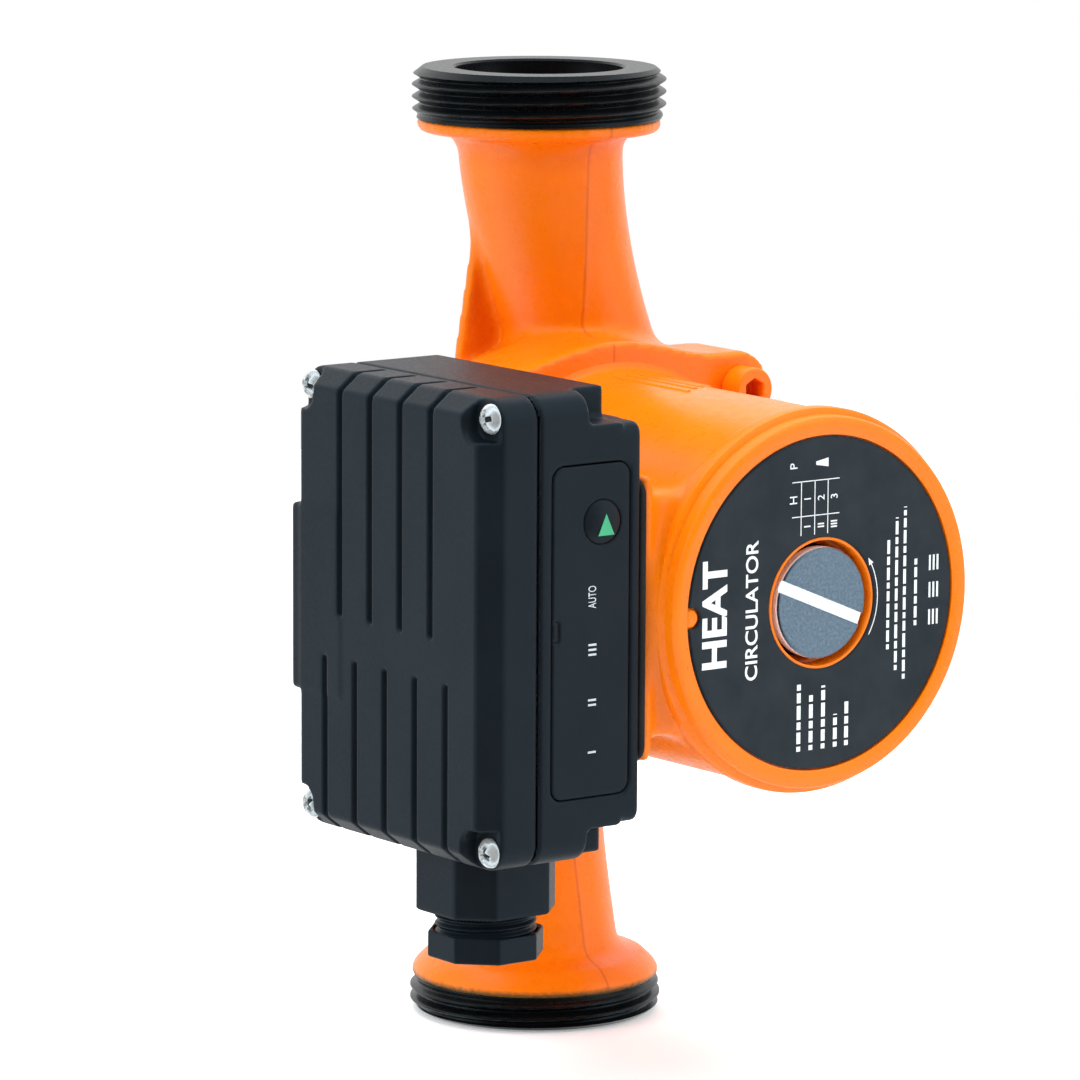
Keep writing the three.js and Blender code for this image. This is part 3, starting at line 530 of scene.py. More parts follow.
def casing():
    g = Grid((-41, 41), (-29, SPLIT), (-84.2, 80.8), 0.8)
    axis_radius = np.sqrt(g.x ** 2 + g.z ** 2)
    pipe_radius = np.sqrt(g.x ** 2 + g.f ** 2)
    volute = turned_shape(axis_radius + 0 * g.f, g.f + 0 * axis_radius, [
        (0, -28), (12, -28), (12, -26.8), (17, -24.5), (21, -17), (28, -10), (35, -6), (38.5, -1), (39.2, 8),
        (39.2, 16), (0, 16),
    ])
    outlet = outlet_neck(g)
    inlet = inlet_neck(g)
    web_edge = (g.x + 11.3) * -0.985 + (g.z - 57.7) * 0.175
    web = common(np.maximum(web_edge, between(g.z, 10, 60)), between(g.f, -6.4, -4.0) + 0 * g.x, 0.6)
    web = np.maximum(web, g.x)
    body = blend(volute, outlet, 4.5)
    body = blend(body, inlet, 6.0)
    body = blend(body, web, 1.5)
    necks = np.minimum(outlet, inlet)
    seam_line = np.maximum(np.maximum(np.abs(g.x) - 0.4, necks - 0.2), 36 - np.abs(g.z))
    body = blend(body, seam_line, 0.6)
    for sign in (1, -1):
        collar = turned_shape(pipe_radius + 0 * g.z, g.z + 0 * pipe_radius, collar_outline(sign))
        body = blend(body, collar, 1.4 if sign > 0 else 2.0)
    plate = flange(g, LUG_BACK, SPLIT + 4) + FLANGE_TUCK
    body = blend(body, plate, 3.0)
    body = np.maximum(body, g.f - SPLIT)
    suction = hose(g, [
        (0, 0, -86, PORT_BORE), (0, -0.5, -68, 12), (0, -3, -58, 11.5), (0, -7, -44, 11.2), (0, -10, -30, 11),
        (0, -12, -4, 11),
    ], 1.0)
    discharge = hose(g, [
        (10, 6, 22, 5), (9.4, 2.2, 34, 9), (5.8, 0.6, 47, 11), (1, 0, 68, 12.3), (0, 0, 84, PORT_BORE),
    ], 1.0)
    ports = union(suction, discharge)
    chamber = np.maximum(axis_radius - CHAMBER_RADIUS, between(g.f, 3, 30))
    body = carve(body, union(ports, chamber))
    skinned("casing", g, body, "pump", CASING_PAINT, ("pump_body",), None, 5)


# ---------- union threads ----------

PITCH = 2.309
THREAD_DEPTH = 1.48
CREST = 23.9
RING_SIDES = 240


def ring_faces(rings, sides):
    """The quads of a closed ring made of this many rings of points."""
    faces = []
    for i in range(rings):
        for j in range(sides):
            k = (j + 1) % sides
            a, b = i * sides, (i + 1) % rings * sides
            faces.append((a + j, a + k, b + k, b + j))
    return faces


def turned_ring(name, outline, material):
    """A ring turned about the motor axis, from a closed outline of (radius, forward) points."""
    angles = np.linspace(0, TURN, RING_SIDES, endpoint=False)
    across, up = np.cos(angles), np.sin(angles)
    points = [np.stack([r * across, np.full(RING_SIDES, f), r * up], 1) for r, f in outline]
    mesh = mesh_of(name, np.concatenate(points), ring_faces(len(outline), RING_SIDES))
    finish_piece(name, mesh, "pump", material, (), 35)


def thread(name, sign, start, chamfer_radius, softness, start_turn):
    """A G 1 1/2 thread with its chamfer, sealing ring and mouth, as one closed ring."""
    sides, rows = RING_SIDES, 110
    end = HALF_LENGTH
    mouth = 15.9
    heights = np.linspace(start, end, rows)
    angles = np.linspace(0, TURN, sides, endpoint=False)
    phase = (heights[None, :] / PITCH + sign * angles[:, None] / TURN + start_turn) % 1.0
    ridge = 1 - np.abs(2 * phase - 1)
    ridge = np.clip((ridge - softness) / (1 - 2 * softness), 0, 1)
    ridge = ridge * ridge * (3 - 2 * ridge) * 0.35 + ridge * 0.65
    radius = CREST - THREAD_DEPTH * (1 - ridge)
    chamfer = chamfer_radius + (end - heights) * 1.25
    radius = np.minimum(radius, np.minimum(chamfer, CREST)[None, :])
    runout = np.clip((heights - start) / (0.8 * PITCH), 0, 1)
    radius = radius * runout + (CREST - 0.9) * (1 - runout)
    rings = []
    inner = [(PORT_BORE, start - 2.0), (mouth, end - 4), (mouth, end - 0.4), (mouth + 0.4, end)]
    for r, z in inner:
        rings.append((np.full(sides, r), np.full(sides, z)))
    rings.append((np.full(sides, chamfer_radius - 0.15), np.full(sides, end)))
    for i in range(rows - 1, -1, -1):
        rings.append((radius[:, i], np.full(sides, heights[i])))
    rings.append((np.full(sides, 21.5), np.full(sides, start - 0.3)))
    points = [np.stack([r * np.cos(angles), r * np.sin(angles), sign * z], 1) for r, z in rings]
    mesh = mesh_of(name, np.concatenate(points), ring_faces(len(rings), sides))
    finish_piece(name, mesh, "pump", THREAD_FINISH, (), 32)


# ---------- motor housing ----------

KNOB_LEFT = 29.6  # a small knob on the rim, in a notch of the label
SLEEVE_RADIUS = 12.2


def housing():
    g = Grid((-41, 41), (LUG_BACK + 2, HOUSING[1][1]), (-41, 41), 0.75)
    axis_radius = np.sqrt(g.x ** 2 + g.z ** 2)
    barrel = turned_shape(axis_radius + 0 * g.f, g.f + 0 * axis_radius, [
        (0, 18), (36, 18), (35.4, 24), (34.5, 28), (34.3, 79.2), (34.0, 83.4), (32.8, 84.6), (31.0, 85.2),
        (0, 85.2),
    ])
    body = blend(barrel, flange(g, LUG_BACK + 2, FLANGE_FRONT), 1.6)
    neck = block(g, (-34.5, -20), (33, 80.5), (-22, 22), 2.0)
    pad = block(g, (-37.4, -34.8), (34, 82), (-25.6, 25.6), 1.2)
    body = blend(body, blend(neck, pad, 3.5), 4.0)
    knob = np.hypot(g.x + KNOB_LEFT, g.z) - 1.5
    knob = np.maximum(knob, between(g.f, 80, 86.2))
    body = blend(body, knob, 0.8)
    recess = np.maximum(axis_radius - SLEEVE_RADIUS, between(g.f, 82, 95))
    body = carve(body, recess)
    can_hole = np.maximum(axis_radius - 10.2, between(g.f, 70, 95))
    inside = np.maximum(axis_radius - 30.6, between(g.f, 0, 79.4))
    body = carve(body, union(can_hole, inside))
    nodes = ("motor_housing",)
    skinned("motor_housing_shell", g, body, "pump", HOUSING_PAINT, nodes, None, 6)


def housing_rim():
    """The turned rim round the label, with its bead, and the sleeve round the vent plug."""
    turned_ring("housing_rim", [
        (33.0, 78.6), (34.3, 78.8), (34.5, 79.3), (34.95, 79.9), (35.1, 80.6), (35.1, 82.4), (34.95, 83.1),
        (34.4, 83.6), (33.9, 83.8), (33.8, 84.2), (33.75, 85.6), (33.5, 86.1), (33.0, 86.4), (31.6, 86.4),
        (31.2, 86.25), (30.75, 86.25), (30.45, 86.1), (30.4, 85.0), (30.4, 84.0),
    ], HOUSING_PAINT)
    turned_ring("plug_sleeve", [
        (11.4, 82.0), (11.4, 85.95), (11.5, 86.08), (11.75, 86.08), (11.85, 85.95), (12.6, 85.1),
        (12.6, 82.0),
    ], HOUSING_PAINT)


def housing_ribs():
    """Four fine ribs run from the flange along the top of the barrel, each a little shorter than the last."""
    g = Grid((-4.5, 8.5), (FLANGE_FRONT - 0.5, 53), (31.5, 35.2), 0.22)
    barrel = np.hypot(g.x, g.z)
    ribs = None
    for i in range(4):
        middle = -2.6 + 3.0 * i
        away = np.hypot(g.x - middle, barrel - 33.9) - 0.85 + 0 * g.f
        rib = np.maximum(away, between(g.f, FLANGE_FRONT - 0.3, 50 - 1.8 * i))
        ribs = rib if ribs is None else union(ribs, rib)
    skinned("housing_ribs", g, ribs, "pump", HOUSING_PAINT, (), None, 2)


def housing_bolts():
    head_front = FLANGE_FRONT + 5
    g = Grid((-4.6, 4.6), (FLANGE_FRONT, head_front), (-4.6, 4.6), 0.2)
    radius = np.hypot(g.x, g.z)
    head = raised(radius - 4.25, g.f, FLANGE_FRONT - 1, head_front, 0.5)
    hexagon = polygon_plan(g.x, g.z, (0, 0), 4.0, 6)
    socket = np.maximum(hexagon, between(g.f, FLANGE_FRONT + 1.2, head_front + 2))
    field = np.maximum(carve(head, socket, 0.25), FLANGE_FRONT + 0.1 - g.f)
    for number in range(1, 5):
        node = f"housing_bolt_{number}"
        box = cad_box(node)
        centre = (sum(box[0]) / 2, 0, sum(box[2]) / 2)
        name = f"cap_screw_{number}"
        points, faces = skin(g, field)
        mesh = mesh_of(name, points + centre, faces)
        finish_piece(name, mesh, "pump", BOLT_PAINT, (node,), 40)


# ---------- label and plug ----------

def label():
    front = LABEL[1][1]
    g = Grid(LABEL[0], (LABEL[1][0], front), LABEL[2], 0.28)
    radius = np.hypot(g.x, g.z)
    disc = raised(radius - LABEL[0][1], g.f, LABEL[1][0], front, 0.12)
    hole = radius - 11.8 + 0 * g.f
    notch = np.hypot(g.x + KNOB_LEFT, g.z) - 1.9 + 0 * g.f
    field = carve(disc, union(hole, notch))
    skinned("label_face", g, field, "pump", LABEL_FILM, ("label_disc",), 40)


PLUG_FRONT = LABEL[1][1]
SLOT_TURN = -0.395


def plug():
    back, front = PLUG[1][0], PLUG_FRONT
    g = Grid(PLUG[0], (back, front), PLUG[2], 0.22)
    radius = np.hypot(g.x, g.z)
    turned = turned_shape(radius + 0 * g.f, g.f + 0 * radius, [
        (0, back), (7.6, back), (8.3, back + 0.8), (8.3, front - 2.4), (10.1, front - 2.4),
        (10.1, front - 0.2), (9.9, front), (0, front),
    ])
    across = g.x * math.sin(-SLOT_TURN) + g.z * math.cos(SLOT_TURN)
    slot = np.maximum(between(across, -1.05, 1.05), between(g.f, front - 0.6, front + 3))
    centre_mark = np.sqrt(g.x ** 2 + g.z ** 2 + (g.f - front - 0.5) ** 2) - 0.95
    field = carve(carve(turned, slot, 0.05), centre_mark, 0.1)
    skinned("vent_plug_body", g, field, "plug", PLUG_STEEL, ("vent_plug",), 40)


# ---------- printed marks ----------

PRINT_GAP = 0.03
PRINT_THICKNESS = 0.05


def printed(name, points, faces, plane, material, body="pump"):
    """A thin printed shape on a plane that faces forward, from flat (x, z) points."""
    front = [(x, plane + PRINT_GAP + PRINT_THICKNESS, z) for x, z in points]
    back = [(x, plane + PRINT_GAP, z) for x, z in points]
    count = len(points)
    sides = []
    edges = {}
    for face in faces:
        for a, b in zip(face, face[1:] + face[:1]):
            edges[(a, b)] = True
    for a, b in edges:
        if (b, a) not in edges:
            sides.append((a, a + count, b + count, b))
    behind = [tuple(i + count for i in reversed(face)) for face in faces]
    mesh = mesh_of(name, front + back, [tuple(face) for face in faces] + behind + sides)
    return finish_piece(name, mesh, body, material, (), 30)


def words(name, text, size, centre, plane, material, bold=0.0, length=None):
    """Words that read upwards, centred on (x, z), drawn out to this length if one is given."""
    curve = bpy.data.curves.new(name, "FONT")
    curve.body, curve.size, curve.offset = text, size * MM, bold * MM
    curve.align_x, curve.align_y = "CENTER", "CENTER"
    source = bpy.data.objects.new(name + "_curve", curve)
    bpy.context.collection.objects.link(source)
    bpy.context.view_layer.update()
    flat = bpy.data.meshes.new_from_object(source)
    bpy.data.objects.remove(source)
    along = [v.co.x / MM for v in flat.vertices]
    wide = 1.0 if length is None else length / (max(along) - min(along))
    points = [(centre[0] - v.co.y / MM, centre[1] + wide * v.co.x / MM) for v in flat.vertices]
    faces = [list(p.vertices) for p in flat.polygons]
    bpy.data.meshes.remove(flat)
    return printed(name, points, faces, plane, material)


def bars(name, rectangles, plane, material):
    """Several flat rectangles of ((x low, x high), (z low, z high)) as one piece."""
    points, faces = [], []
    for (x0, x1), (z0, z1) in rectangles:
        start = len(points)
        points += [(x0, z0), (x1, z0), (x1, z1), (x0, z1)]
        faces.append([start, start + 1, start + 2, start + 3])
    return printed(name, points, faces, plane, material)


def fine_print(x, low, high, tall=0.62):
    """A line of small print, as word-long strokes from low to high."""
    strokes, at, count = [], low, 0
    while at < high:
        end = min(at + 0.9 + 1.9 * ((count * 0.618) % 1), high)
        strokes.append(((x - tall / 2, x + tall / 2), (at, end)))
        at = end + 0.5
        count += 1
    return strokes


def label_print():
    plane = LABEL[1][1]
    words("label_title", "HEAT", 7.4, (-24.0, 0.0), plane, PRINT_WHITE, 0.22, 19.5)
    words("label_subtitle", "CIRCULATOR", 3.8, (-15.8, 0.0), plane, PRINT_WHITE, 0.05, 25.2)
    line = 0.16
    table = [((-7.0, 3.8), (z, z + line)) for z in (16.0, 22.3)]
    table += [((x, x + line), (12.6, 22.4)) for x in (-5.0, -1.9, 1.1)]
    bars("label_table", table, plane, PRINT_WHITE)
    for number, x in enumerate((-3.4, -0.3, 2.7), 1):
        words(f"label_row_{number}", "I" * number, 2.0, (x, 14.2), plane, PRINT_WHITE, 0.03)
        words(f"label_value_{number}", str(number), 2.2, (x, 19.2), plane, PRINT_WHITE)
    for letter, z in (("H", 19.2), ("P", 25.3)):
        words(f"label_head_{letter}", letter, 2.4, (-6.6, z), plane, PRINT_WHITE)
    wedge = [(-1.6, 25.2), (-1.6, 25.8), (1.2, 26.3), (1.2, 24.7)]
    printed("label_wedge", wedge, [[0, 1, 2, 3]], plane, PRINT_WHITE)
    marks = [((x, x + 0.4), (z - 1.4, z + 1.4)) for x in (24.9, 25.8, 26.7) for z in (-5.0, 0.0, 5.0)]
    bars("label_marks", marks, plane, PRINT_WHITE)
    rating = []
    for x, length in ((-5.0, 12.5), (-2.2, 10.0), (0.6, 11.5), (3.4, 6.0), (6.0, 8.0)):
        rating += fine_print(x, -26.6, length - 26.6, 0.85)
    bars("label_rating_lines", rating, plane, PRINT_WHITE)
    small = []
    for x, half in ((15.4, 10.0), (17.3, 14.0), (19.2, 15.8), (21.8, 6.2)):
        small += fine_print(x, -half, half)
    bars("label_small_lines", small, plane, PRINT_WHITE)
    arc, outer, inner = [], 12.98, 12.82
    steps = 24
    angles = [math.radians(-32 + 60 * i / steps) for i in range(steps + 1)]
    for radius in (outer, inner):
        arc += [(radius * math.cos(angle), radius * math.sin(angle)) for angle in angles]
    quads = [[i, i + 1, steps + 2 + i, steps + 1 + i] for i in range(steps)]
    head = len(arc)
    tip = math.radians(34)
    for head_radius, angle in ((13.4, angles[-1]), (12.9, tip), (12.4, angles[-1])):
        arc.append((head_radius * math.cos(angle), head_radius * math.sin(angle)))
    quads.append([head, head + 1, head + 2])
    printed("label_turn_arrow", arc, quads, plane, PRINT_WHITE)


# ---------- control box ----------

BOX_X = (-BASE[0][1], -BASE[0][0])
SCREW_FORWARD = [26.5, 80.8]
SCREW_HEIGHT = 38.3
COVER_BACK, COVER_FRONT = -COVER[0][1], -COVER[0][0]
BOX_FORWARD = (24.0, BASE[1][1])
BOX_HALF = COVER[2][1]
BEVEL_START = 69.0
BEVEL_INSET = 3.0


def cover():
    g = Grid(COVER[0], COVER[1], COVER[2], 0.42)
    left = -g.x
    plan = rounded_plan(g.f, g.z, BOX_FORWARD, (-BOX_HALF, BOX_HALF), 4.5)
    slope = BEVEL_INSET / (COVER_FRONT - BEVEL_START)
    bevel = (plan + slope * np.maximum(left - BEVEL_START, -10)) / math.hypot(1, slope)
    body = common(raised(plan, left, COVER_BACK, COVER_FRONT, 0.5), bevel, 0.4)
    bump = block(g, (-COVER_FRONT, -COVER_BACK), (23.9, 40), (-17, 17), 0.9)
    body = blend(body, bump, 0.6)
    grooves = []
    for first, count, start, side in ((39.3, 4, -1.3, 1), (34.7, 5, -10.1, -1)):
        for i in range(count):
            at = first + i * 9.25
            depth = -(body + 1.0)
            width = np.abs(g.f - at) - 0.6
            beyond = start - g.z if side > 0 else g.z - start
            end = np.hypot(np.maximum(beyond, 0), g.f - at) - 0.6
            slot = np.where(beyond > 0, end, width + 0 * g.z)
            on_front = np.maximum(slot, depth)
            grooves.append(np.maximum(on_front, COVER_BACK + 1.5 - left))
    body = carve(body, union(*grooves), 0.25)
    for forward, outer in zip(SCREW_FORWARD, (-1, 1)):
        for side in (-1, 1):
            away = np.hypot(g.f - forward, g.z - side * SCREW_HEIGHT)
            along = sorted((forward - outer * 4.2, forward + outer * 9.0))
            across = sorted((side * (SCREW_HEIGHT - 4.0), side * (SCREW_HEIGHT + 3.4)))
            pocket = np.maximum(rounded_plan(g.f, g.z, along, across, 3.2), 69.3 - left)
            body = carve(body, pocket, 0.35)
            hole = np.maximum(away - 1.9, COVER_BACK - 5 - left)
            body = carve(body, hole)
    hollow_plan = rounded_plan(g.f, g.z, (BOX_FORWARD[0] + 11, BOX_FORWARD[1] - 11), (-32, 32), 3.0)
    body = carve(body, np.maximum(hollow_plan, left - (COVER_FRONT - 3.0)))
    skinned("box_cover", g, body, "pump", BLACK_PLASTIC, ("control_box_cover",), None, 1)


GLAND_CENTRE = (sum(NUT[0]) / 2, sum(NUT[1]) / 2)
BUTTON_CENTRE = (sum(BUTTON[0]) / 2, sum(BUTTON[2]) / 2)
BOSS_BOTTOM = -55.4
JOINT_LEFT = 61.1


def base():
    g = Grid(BASE[0], (BOX_FORWARD[0], BASE[1][1]), (BOSS_BOTTOM, BASE[2][1]), 0.5)
    left = -g.x
    plan = rounded_plan(g.f, g.z, BOX_FORWARD, (-BOX_HALF, BOX_HALF), 4.5)
    body = raised(plan, left, 42.8, JOINT_LEFT, 0.55)
    step_plan = rounded_plan(g.f, g.z, BOX_FORWARD, (-36, 36), 2.5)
    body = union(body, raised(step_plan, left, BOX_X[0], 50, 0.8))
    boss = common(polygon_plan(g.x, g.f, GLAND_CENTRE, 22.4, 4),
                  polygon_plan(g.x, g.f, GLAND_CENTRE, 24.2, 4, TURN / 8))
    body = union(body, raised(boss, g.z, BOSS_BOTTOM, -38, 0.3))
    for side in (-1, 1):
        notch = block(g, (-50.2, -30), (BOX_FORWARD[1] - 6.2, BOX_FORWARD[1] + 8),
                      (min(side * 36, side * 60), max(side * 36, side * 60)), 1.2)
        body = carve(body, notch, 0.8)
    gap = 0.15
    panel_plan = rounded_plan(g.x, g.z, (PANEL[0][0] - gap, PANEL[0][1] + gap),
                              (PANEL[2][0] - gap, PANEL[2][1] + gap), 2.5)
    body = carve(body, np.maximum(panel_plan, PANEL[1][0] - 0.15 - g.f), 0.2)
    from_button = np.hypot(g.x - BUTTON_CENTRE[0], g.z - BUTTON_CENTRE[1])
    shaft_hole = np.maximum(from_button - 5.6, BOX_FORWARD[1] - 12 - g.f)
    windows = block(g, (-51.6, -48.4), (BOX_FORWARD[1] - 6, BOX_FORWARD[1] + 2), (-26, 8))
    inside = block(g, (-80, -44.8), (BOX_FORWARD[0] + 2.4, BOX_FORWARD[1] - 2.4), (-33, 33), 2.0)
    cable = np.maximum(np.hypot(g.x - GLAND_CENTRE[0], g.f - GLAND_CENTRE[1]) - 6.3, g.z + 20)
    lead = block(g, (-50, -20), (46, 66), (-7, 7), 0.5)
    body = carve(body, union(shaft_hole, windows, inside, cable, lead))
    skinned("box_base", g, body, "pump", BLACK_PLASTIC, ("control_box_base",), None, 1)


def cover_screws():
    seat = 69.4
    g = Grid((-3, 3), (0, 3), (-3, 3), 0.11)
    radius = np.hypot(g.x, g.z)
    dome = np.sqrt(radius ** 2 + (g.f + 1.3) ** 2) - 3.25
    head = common(np.maximum(radius - 2.72, -g.f), dome, 0.3)
    cross = np.minimum(
        np.maximum(np.abs(g.x) - 0.48, np.abs(g.z) - 1.75),
        np.maximum(np.abs(g.z) - 0.48, np.abs(g.x) - 1.75),
    )
    taper = np.maximum(cross, 0.45 + 0.45 * radius - g.f)
    field = carve(head, taper, 0.12)
    # Painted shade: a dark cross with the rubber finish sits just inside each screw's cross recess, standing
    # in for the shade that falls there.
    shadow = np.maximum(np.maximum(cross - 0.02, taper - 0.12), g.f - 1.0 + 0.12 * radius)
    for number in range(1, 5):
        node = f"cover_screw_{number}"
        box = cad_box(node)
        turn = 0.35 + number
        for name, shape, material, nodes in (
            (f"pan_screw_{number}", field, ZINC, (node,)),
            (f"screw_cross_shade_{number}", shadow, RUBBER, ()),
        ):
            points, faces = skin(g, shape)
            u = points[:, 0] * math.cos(turn) - points[:, 2] * math.sin(turn)
            w = points[:, 0] * math.sin(turn) + points[:, 2] * math.cos(turn)
            placed = np.stack([-(seat + points[:, 1]), sum(box[1]) / 2 + u, sum(box[2]) / 2 + w], 1)
            finish_piece(name, mesh_of(name, placed, faces), "pump", material, nodes, 40)


def panel():
    g = Grid(PANEL[0], PANEL[1], PANEL[2], 0.25)
    plan = rounded_plan(g.x, g.z, PANEL[0], PANEL[2], 2.4)
    hole = np.hypot(g.x - BUTTON_CENTRE[0], g.z - BUTTON_CENTRE[1]) - 4.0 + 0 * g.f
    tab_plan = rounded_plan(g.x, g.z, (PANEL[0][0] - 1.5, PANEL[0][0] + 1.4), (-1.8, 1.8), 0.4)
    tab_line = np.maximum(np.abs(tab_plan) - 0.14, PANEL[1][1] - 0.4 - g.f)
    field = carve(carve(raised(plan, g.f, *PANEL[1], 0.15), hole), tab_line)
    skinned("panel_plate", g, field, "pump", PANEL_PLASTIC, ("side_panel",), 40)
    plane = PANEL[1][1]
    mark_x = -49.6
    words("panel_auto", "AUTO", 2.4, (mark_x, 5.6), plane, PRINT_GREY, 0.0, 4.0)
    for count, z in ((3, -3.8), (2, -13.2), (1, -22.1)):
        heights = [z + 0.87 * (i - (count - 1) / 2) for i in range(count)]
        rows = [((mark_x - 0.87, mark_x + 0.87), (height - 0.19, height + 0.19)) for height in heights]
        bars(f"panel_level_{count}", rows, plane, PRINT_GREY)


def button():
    back, front = BUTTON[1]
    g = Grid(BUTTON[0], (back, front), BUTTON[2], 0.2)
    radius = np.hypot(g.x - BUTTON_CENTRE[0], g.z - BUTTON_CENTRE[1])
    dome = np.sqrt(radius ** 2 + (g.f - front + 9.0) ** 2) - 9.0
    cap = common(np.maximum(radius - 4.0, (front - 3.4) - g.f), dome, 0.3)
    skirt = np.maximum(radius - 5.0, between(g.f, front - 3.4, front - 2.0))
    stem = np.maximum(radius - 1.2, between(g.f, back, front - 2))
    field = union(cap, skirt, stem)
    skinned("button_cap", g, field, "button", PANEL_PLASTIC, ("control_button",), 40)
    mark_x, mark_z = BUTTON_CENTRE[0] + 0.2, BUTTON_CENTRE[1] - 0.6
    corners = [(mark_x - 1.75, mark_z - 1.7), (mark_x + 1.75, mark_z - 1.7), (mark_x, mark_z + 2.1)]
    printed("button_mark", corners, [[0, 1, 2]], front - PRINT_GAP, PRINT_GREEN, "button")


SEAL_FORWARD = (SEAL[1][0], BOX_FORWARD[1] - 0.2)


def seal_frame():
    g = Grid(SEAL[0], SEAL_FORWARD, SEAL[2], 0.4)
    plan = rounded_plan(g.f, g.z, SEAL_FORWARD, SEAL[2], 3.0)
    field = carve(raised(plan, -g.x, -SEAL[0][1], -SEAL[0][0], 0.4),
                  rounded_plan(g.f, g.z, (SEAL[1][0] + 3, SEAL[1][1] - 3), (-22.0, 22.0), 1.5) + 0 * g.x)
    skinned("box_seal", g, field, "pump", RUBBER, ("box_seal_frame",))


# ---------- cable gland ----------

def gland():
    low, high = NUT[2]
    g = Grid(NUT[0], NUT[1], (low, high), 0.26)
    away = np.hypot(g.x - GLAND_CENTRE[0], g.f - GLAND_CENTRE[1])
    outside = polygon_plan(g.x, g.f, GLAND_CENTRE, 19.8, 8)
    body = raised(outside, g.z, low, high, 0.35)
    body = carve(body, np.maximum(away - 9.5, low + 1.0 - g.z), 0.2)
    body = carve(body, away - 5.4 + 0 * g.z, 0.4)
    skinned("gland_cap", g, body, "gland", BLACK_PLASTIC, ("gland_nut",), 40)


def gland_thread():
    """The short moulded thread between the boss and the nut."""
    sides, rows, pitch = 120, 60, 1.411
    top, bottom = BOSS_BOTTOM + 0.5, -61.6
    heights = np.linspace(bottom, top, rows)
    angles = np.linspace(0, TURN, sides, endpoint=False)
    phase = (heights[None, :] / pitch + angles[:, None] / TURN) % 1.0
    radius = 8.45 + 0.75 * (0.5 - 0.5 * np.cos(TURN * phase))
    rings = [(np.full(sides, 6.3), top), (np.full(sides, 6.3), bottom)]
    rings += [(radius[:, i], heights[i]) for i in range(rows)]
    points = [np.stack([GLAND_CENTRE[0] + r * np.cos(angles), GLAND_CENTRE[1] + r * np.sin(angles),
                        np.full(sides, z)], 1) for r, z in rings]
    mesh = mesh_of("gland_thread", np.concatenate(points), ring_faces(len(rings), sides))
    finish_piece("gland_thread", mesh, "pump", BLACK_PLASTIC, (), 60)


# ---------- hidden CAD pieces ----------

def inner_materials():
    """Every CAD piece that stays gets a finish of its own class."""
    finishes = {
        "rubber": RUBBER,
        "bright_steel": CHROME,
        "sheet_steel": metal("sheet_steel", (0.52, 0.53, 0.55), 0.32, 0.6, 0.02, (1, 6, 1)),
        "laminations": metal("laminations", (0.28, 0.29, 0.30), 0.48, 0.5, 0.05, (1, 12, 1)),
        "copper": metal("copper_wire", (0.72, 0.30, 0.12), 0.30, 0.5, 0.08, (8, 1, 8)),
        "ceramic": plastic("ceramic", (0.80, 0.77, 0.70), (0.86, 0.83, 0.77), 0.3, 0.004, 0.25),
        "carbon": plastic("carbon", (0.020, 0.020, 0.022), (0.032, 0.032, 0.034), 0.3, 0.02, 0.55),
        "impeller_plastic": plastic(
            "impeller_plastic", (0.06, 0.055, 0.05), (0.09, 0.08, 0.07), 0.5, 0.02, 0.5,
        ),
        "board": plastic("board", (0.012, 0.15, 0.05), (0.018, 0.20, 0.07), 0.8, 0.02, 0.35),
        "white_plastic": plastic("white_plastic", (0.78, 0.80, 0.78), (0.84, 0.86, 0.84), 0.5, 0.01, 0.40),
        "film_yellow": plastic("film_yellow", (0.66, 0.42, 0.05), (0.74, 0.50, 0.07), 0.6, 0.01, 0.40),
    }
    for part in frame["record"]["subparts"]:
        node = frame["nodes"][part["node"]]
        if node.hide_render:
            continue
        node.data.materials.clear()
        node.data.materials.append(finishes[part["material_slot"]])


# ---------- studio ----------

CAMERA_AT = (-740.1, 1002.3, 201.35)
CAMERA_TURN = -36.44
CAMERA_PITCH = 9.18
CAMERA_ROLL = 0.28
FOCAL_SHARE = 6656.0 / 1080


def camera():
    data = bpy.data.cameras.new("camera")
    made = bpy.data.objects.new("camera", data)
    bpy.context.collection.objects.link(made)
    data.sensor_width = 36.0
    data.lens = FOCAL_SHARE * data.sensor_width
    data.shift_x = 0.0031
    data.clip_start, data.clip_end = 0.05, 20.0
    made.location = Vector(pump_point(CAMERA_AT))
    turn, pitch = math.radians(CAMERA_TURN), math.radians(CAMERA_PITCH)
    ahead = Vector((-math.sin(turn) * math.cos(pitch), math.cos(turn) * math.cos(pitch), -math.sin(pitch)))
    made.rotation_mode = "QUATERNION"
    level = ahead.to_track_quat("-Z", "Y")
    roll = Quaternion((0, 0, 1), math.radians(CAMERA_ROLL))
    made.rotation_quaternion = level @ roll
    bpy.context.scene.camera = made


def area_light(name, at, size, power, colour=(1, 1, 1)):
    """A soft box aimed at the motor, kept out of mirror reflections."""
    data = bpy.data.lights.new(name, "AREA")
    data.shape, data.size, data.size_y = "RECTANGLE", size[0], size[1]
    data.energy, data.color = power, colour
    lamp = bpy.data.objects.new(name, data)
    bpy.context.collection.objects.link(lamp)
    lamp.location = at
    lamp.visible_glossy = False
    lamp.rotation_mode = "QUATERNION"
    lamp.rotation_quaternion = (Vector((0, PIPE_Y * MM, 0)) - Vector(at)).to_track_quat("-Z", "Y")


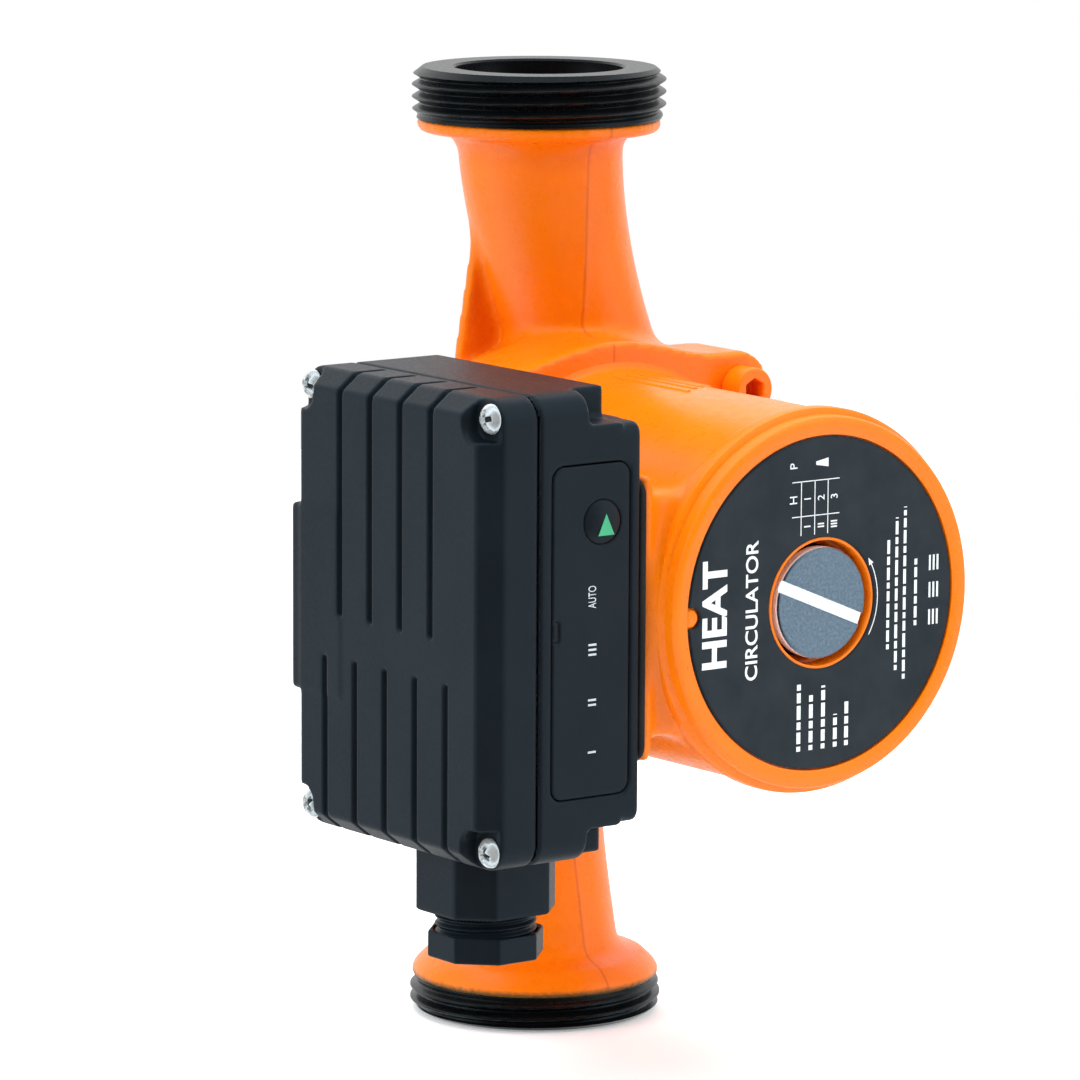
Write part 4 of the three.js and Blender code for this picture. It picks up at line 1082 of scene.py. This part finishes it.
def floor_paper():
    """Pale paper that mirror rays pass through, so that only the backdrop shows in the gloss."""
    s = Shader("floor_paper")
    s.colour(s.mix(s.spread(s.noise(60.0), 0, 1), (0.84, 0.84, 0.84), (0.87, 0.87, 0.87)))
    s.roughness(s.spread(s.noise(8.0), 0.7, 0.8))
    s.set(Emission_Color=(1, 1, 1, 1), Emission_Strength=0.30)
    clear = s.node("ShaderNodeBsdfTransparent")
    either = s.node("ShaderNodeMixShader")
    s.join(s.node("ShaderNodeLightPath").outputs["Is Glossy Ray"], either.inputs[0])
    s.join(s.surface.outputs["BSDF"], either.inputs[1])
    s.join(clear.outputs["BSDF"], either.inputs[2])
    s.join(either.outputs["Shader"], s.tree.nodes["Material Output"].inputs["Surface"])
    return s.material


def backdrop():
    """White behind the pump, cool and bright to the sides and dark on the camera's side."""
    world = bpy.data.worlds.new("studio")
    world.use_nodes = True
    tree = world.node_tree
    turn = math.radians(CAMERA_TURN)
    facing = tree.nodes.new("ShaderNodeVectorMath")
    facing.operation = "DOT_PRODUCT"
    facing.inputs[1].default_value = (0.5 * math.sin(turn), -0.5 * math.cos(turn), 0)
    tree.links.new(tree.nodes.new("ShaderNodeTexCoord").outputs["Generated"], facing.inputs[0])
    centred = tree.nodes.new("ShaderNodeMath")
    centred.inputs[1].default_value = 0.5
    tree.links.new(facing.outputs["Value"], centred.inputs[0])
    ramp = tree.nodes.new("ShaderNodeValToRGB")
    ramp.color_ramp.elements[0].color = (1, 1, 1, 1)
    ramp.color_ramp.elements[1].color = (0.02, 0.022, 0.024, 1)
    for place, colour in (
        (0.20, (0.95, 0.97, 0.98, 1)), (0.36, (0.20, 0.30, 0.37, 1)), (0.63, (0.70, 0.88, 1.00, 1)),
        (0.78, (0.16, 0.22, 0.27, 1)), (0.88, (0.02, 0.024, 0.028, 1)),
    ):
        ramp.color_ramp.elements.new(place).color = colour
    tree.links.new(centred.outputs["Value"], ramp.inputs["Fac"])
    seen = tree.nodes.new("ShaderNodeMix")
    seen.data_type = "RGBA"
    tree.links.new(tree.nodes.new("ShaderNodeLightPath").outputs["Is Camera Ray"], seen.inputs["Factor"])
    tree.links.new(ramp.outputs["Color"], seen.inputs[6])
    seen.inputs[7].default_value = (1, 1, 1, 1)
    tree.links.new(seen.outputs[2], tree.nodes["Background"].inputs["Color"])
    bpy.context.scene.world = world


def studio():
    floor_z = -HALF_LENGTH * MM - 0.0005
    half = 0.6
    corners = [(-half, -half, floor_z), (half, -half, floor_z), (half, half, floor_z), (-half, half, floor_z)]
    mesh = bpy.data.meshes.new("floor")
    mesh.from_pydata(corners, [], [(0, 1, 2, 3)])
    floor = bpy.data.objects.new("floor", mesh)
    bpy.context.collection.objects.link(floor)
    mesh.materials.append(floor_paper())
    backdrop()
    area_light("top", (0.0, 0.1, 1.3), (1.4, 1.4), 27)
    area_light("right", (0.9, -1.2, 0.7), (1.0, 1.0), 15)
    area_light("left", (-1.35, -0.35, 0.65), (1.0, 1.0), 16)
    bpy.context.scene.view_settings.view_transform = "Standard"


casing()
thread("outlet_thread", 1, 80.4, 22.0, 0.06, 0.38)
thread("inlet_thread", -1, 83.7, 22.4, 0.16, -0.13)
housing()
housing_rim()
housing_ribs()
housing_bolts()
label()
label_print()
plug()
cover()
base()
cover_screws()
panel()
button()
seal_frame()
gland()
gland_thread()
inner_materials()
camera()
studio()
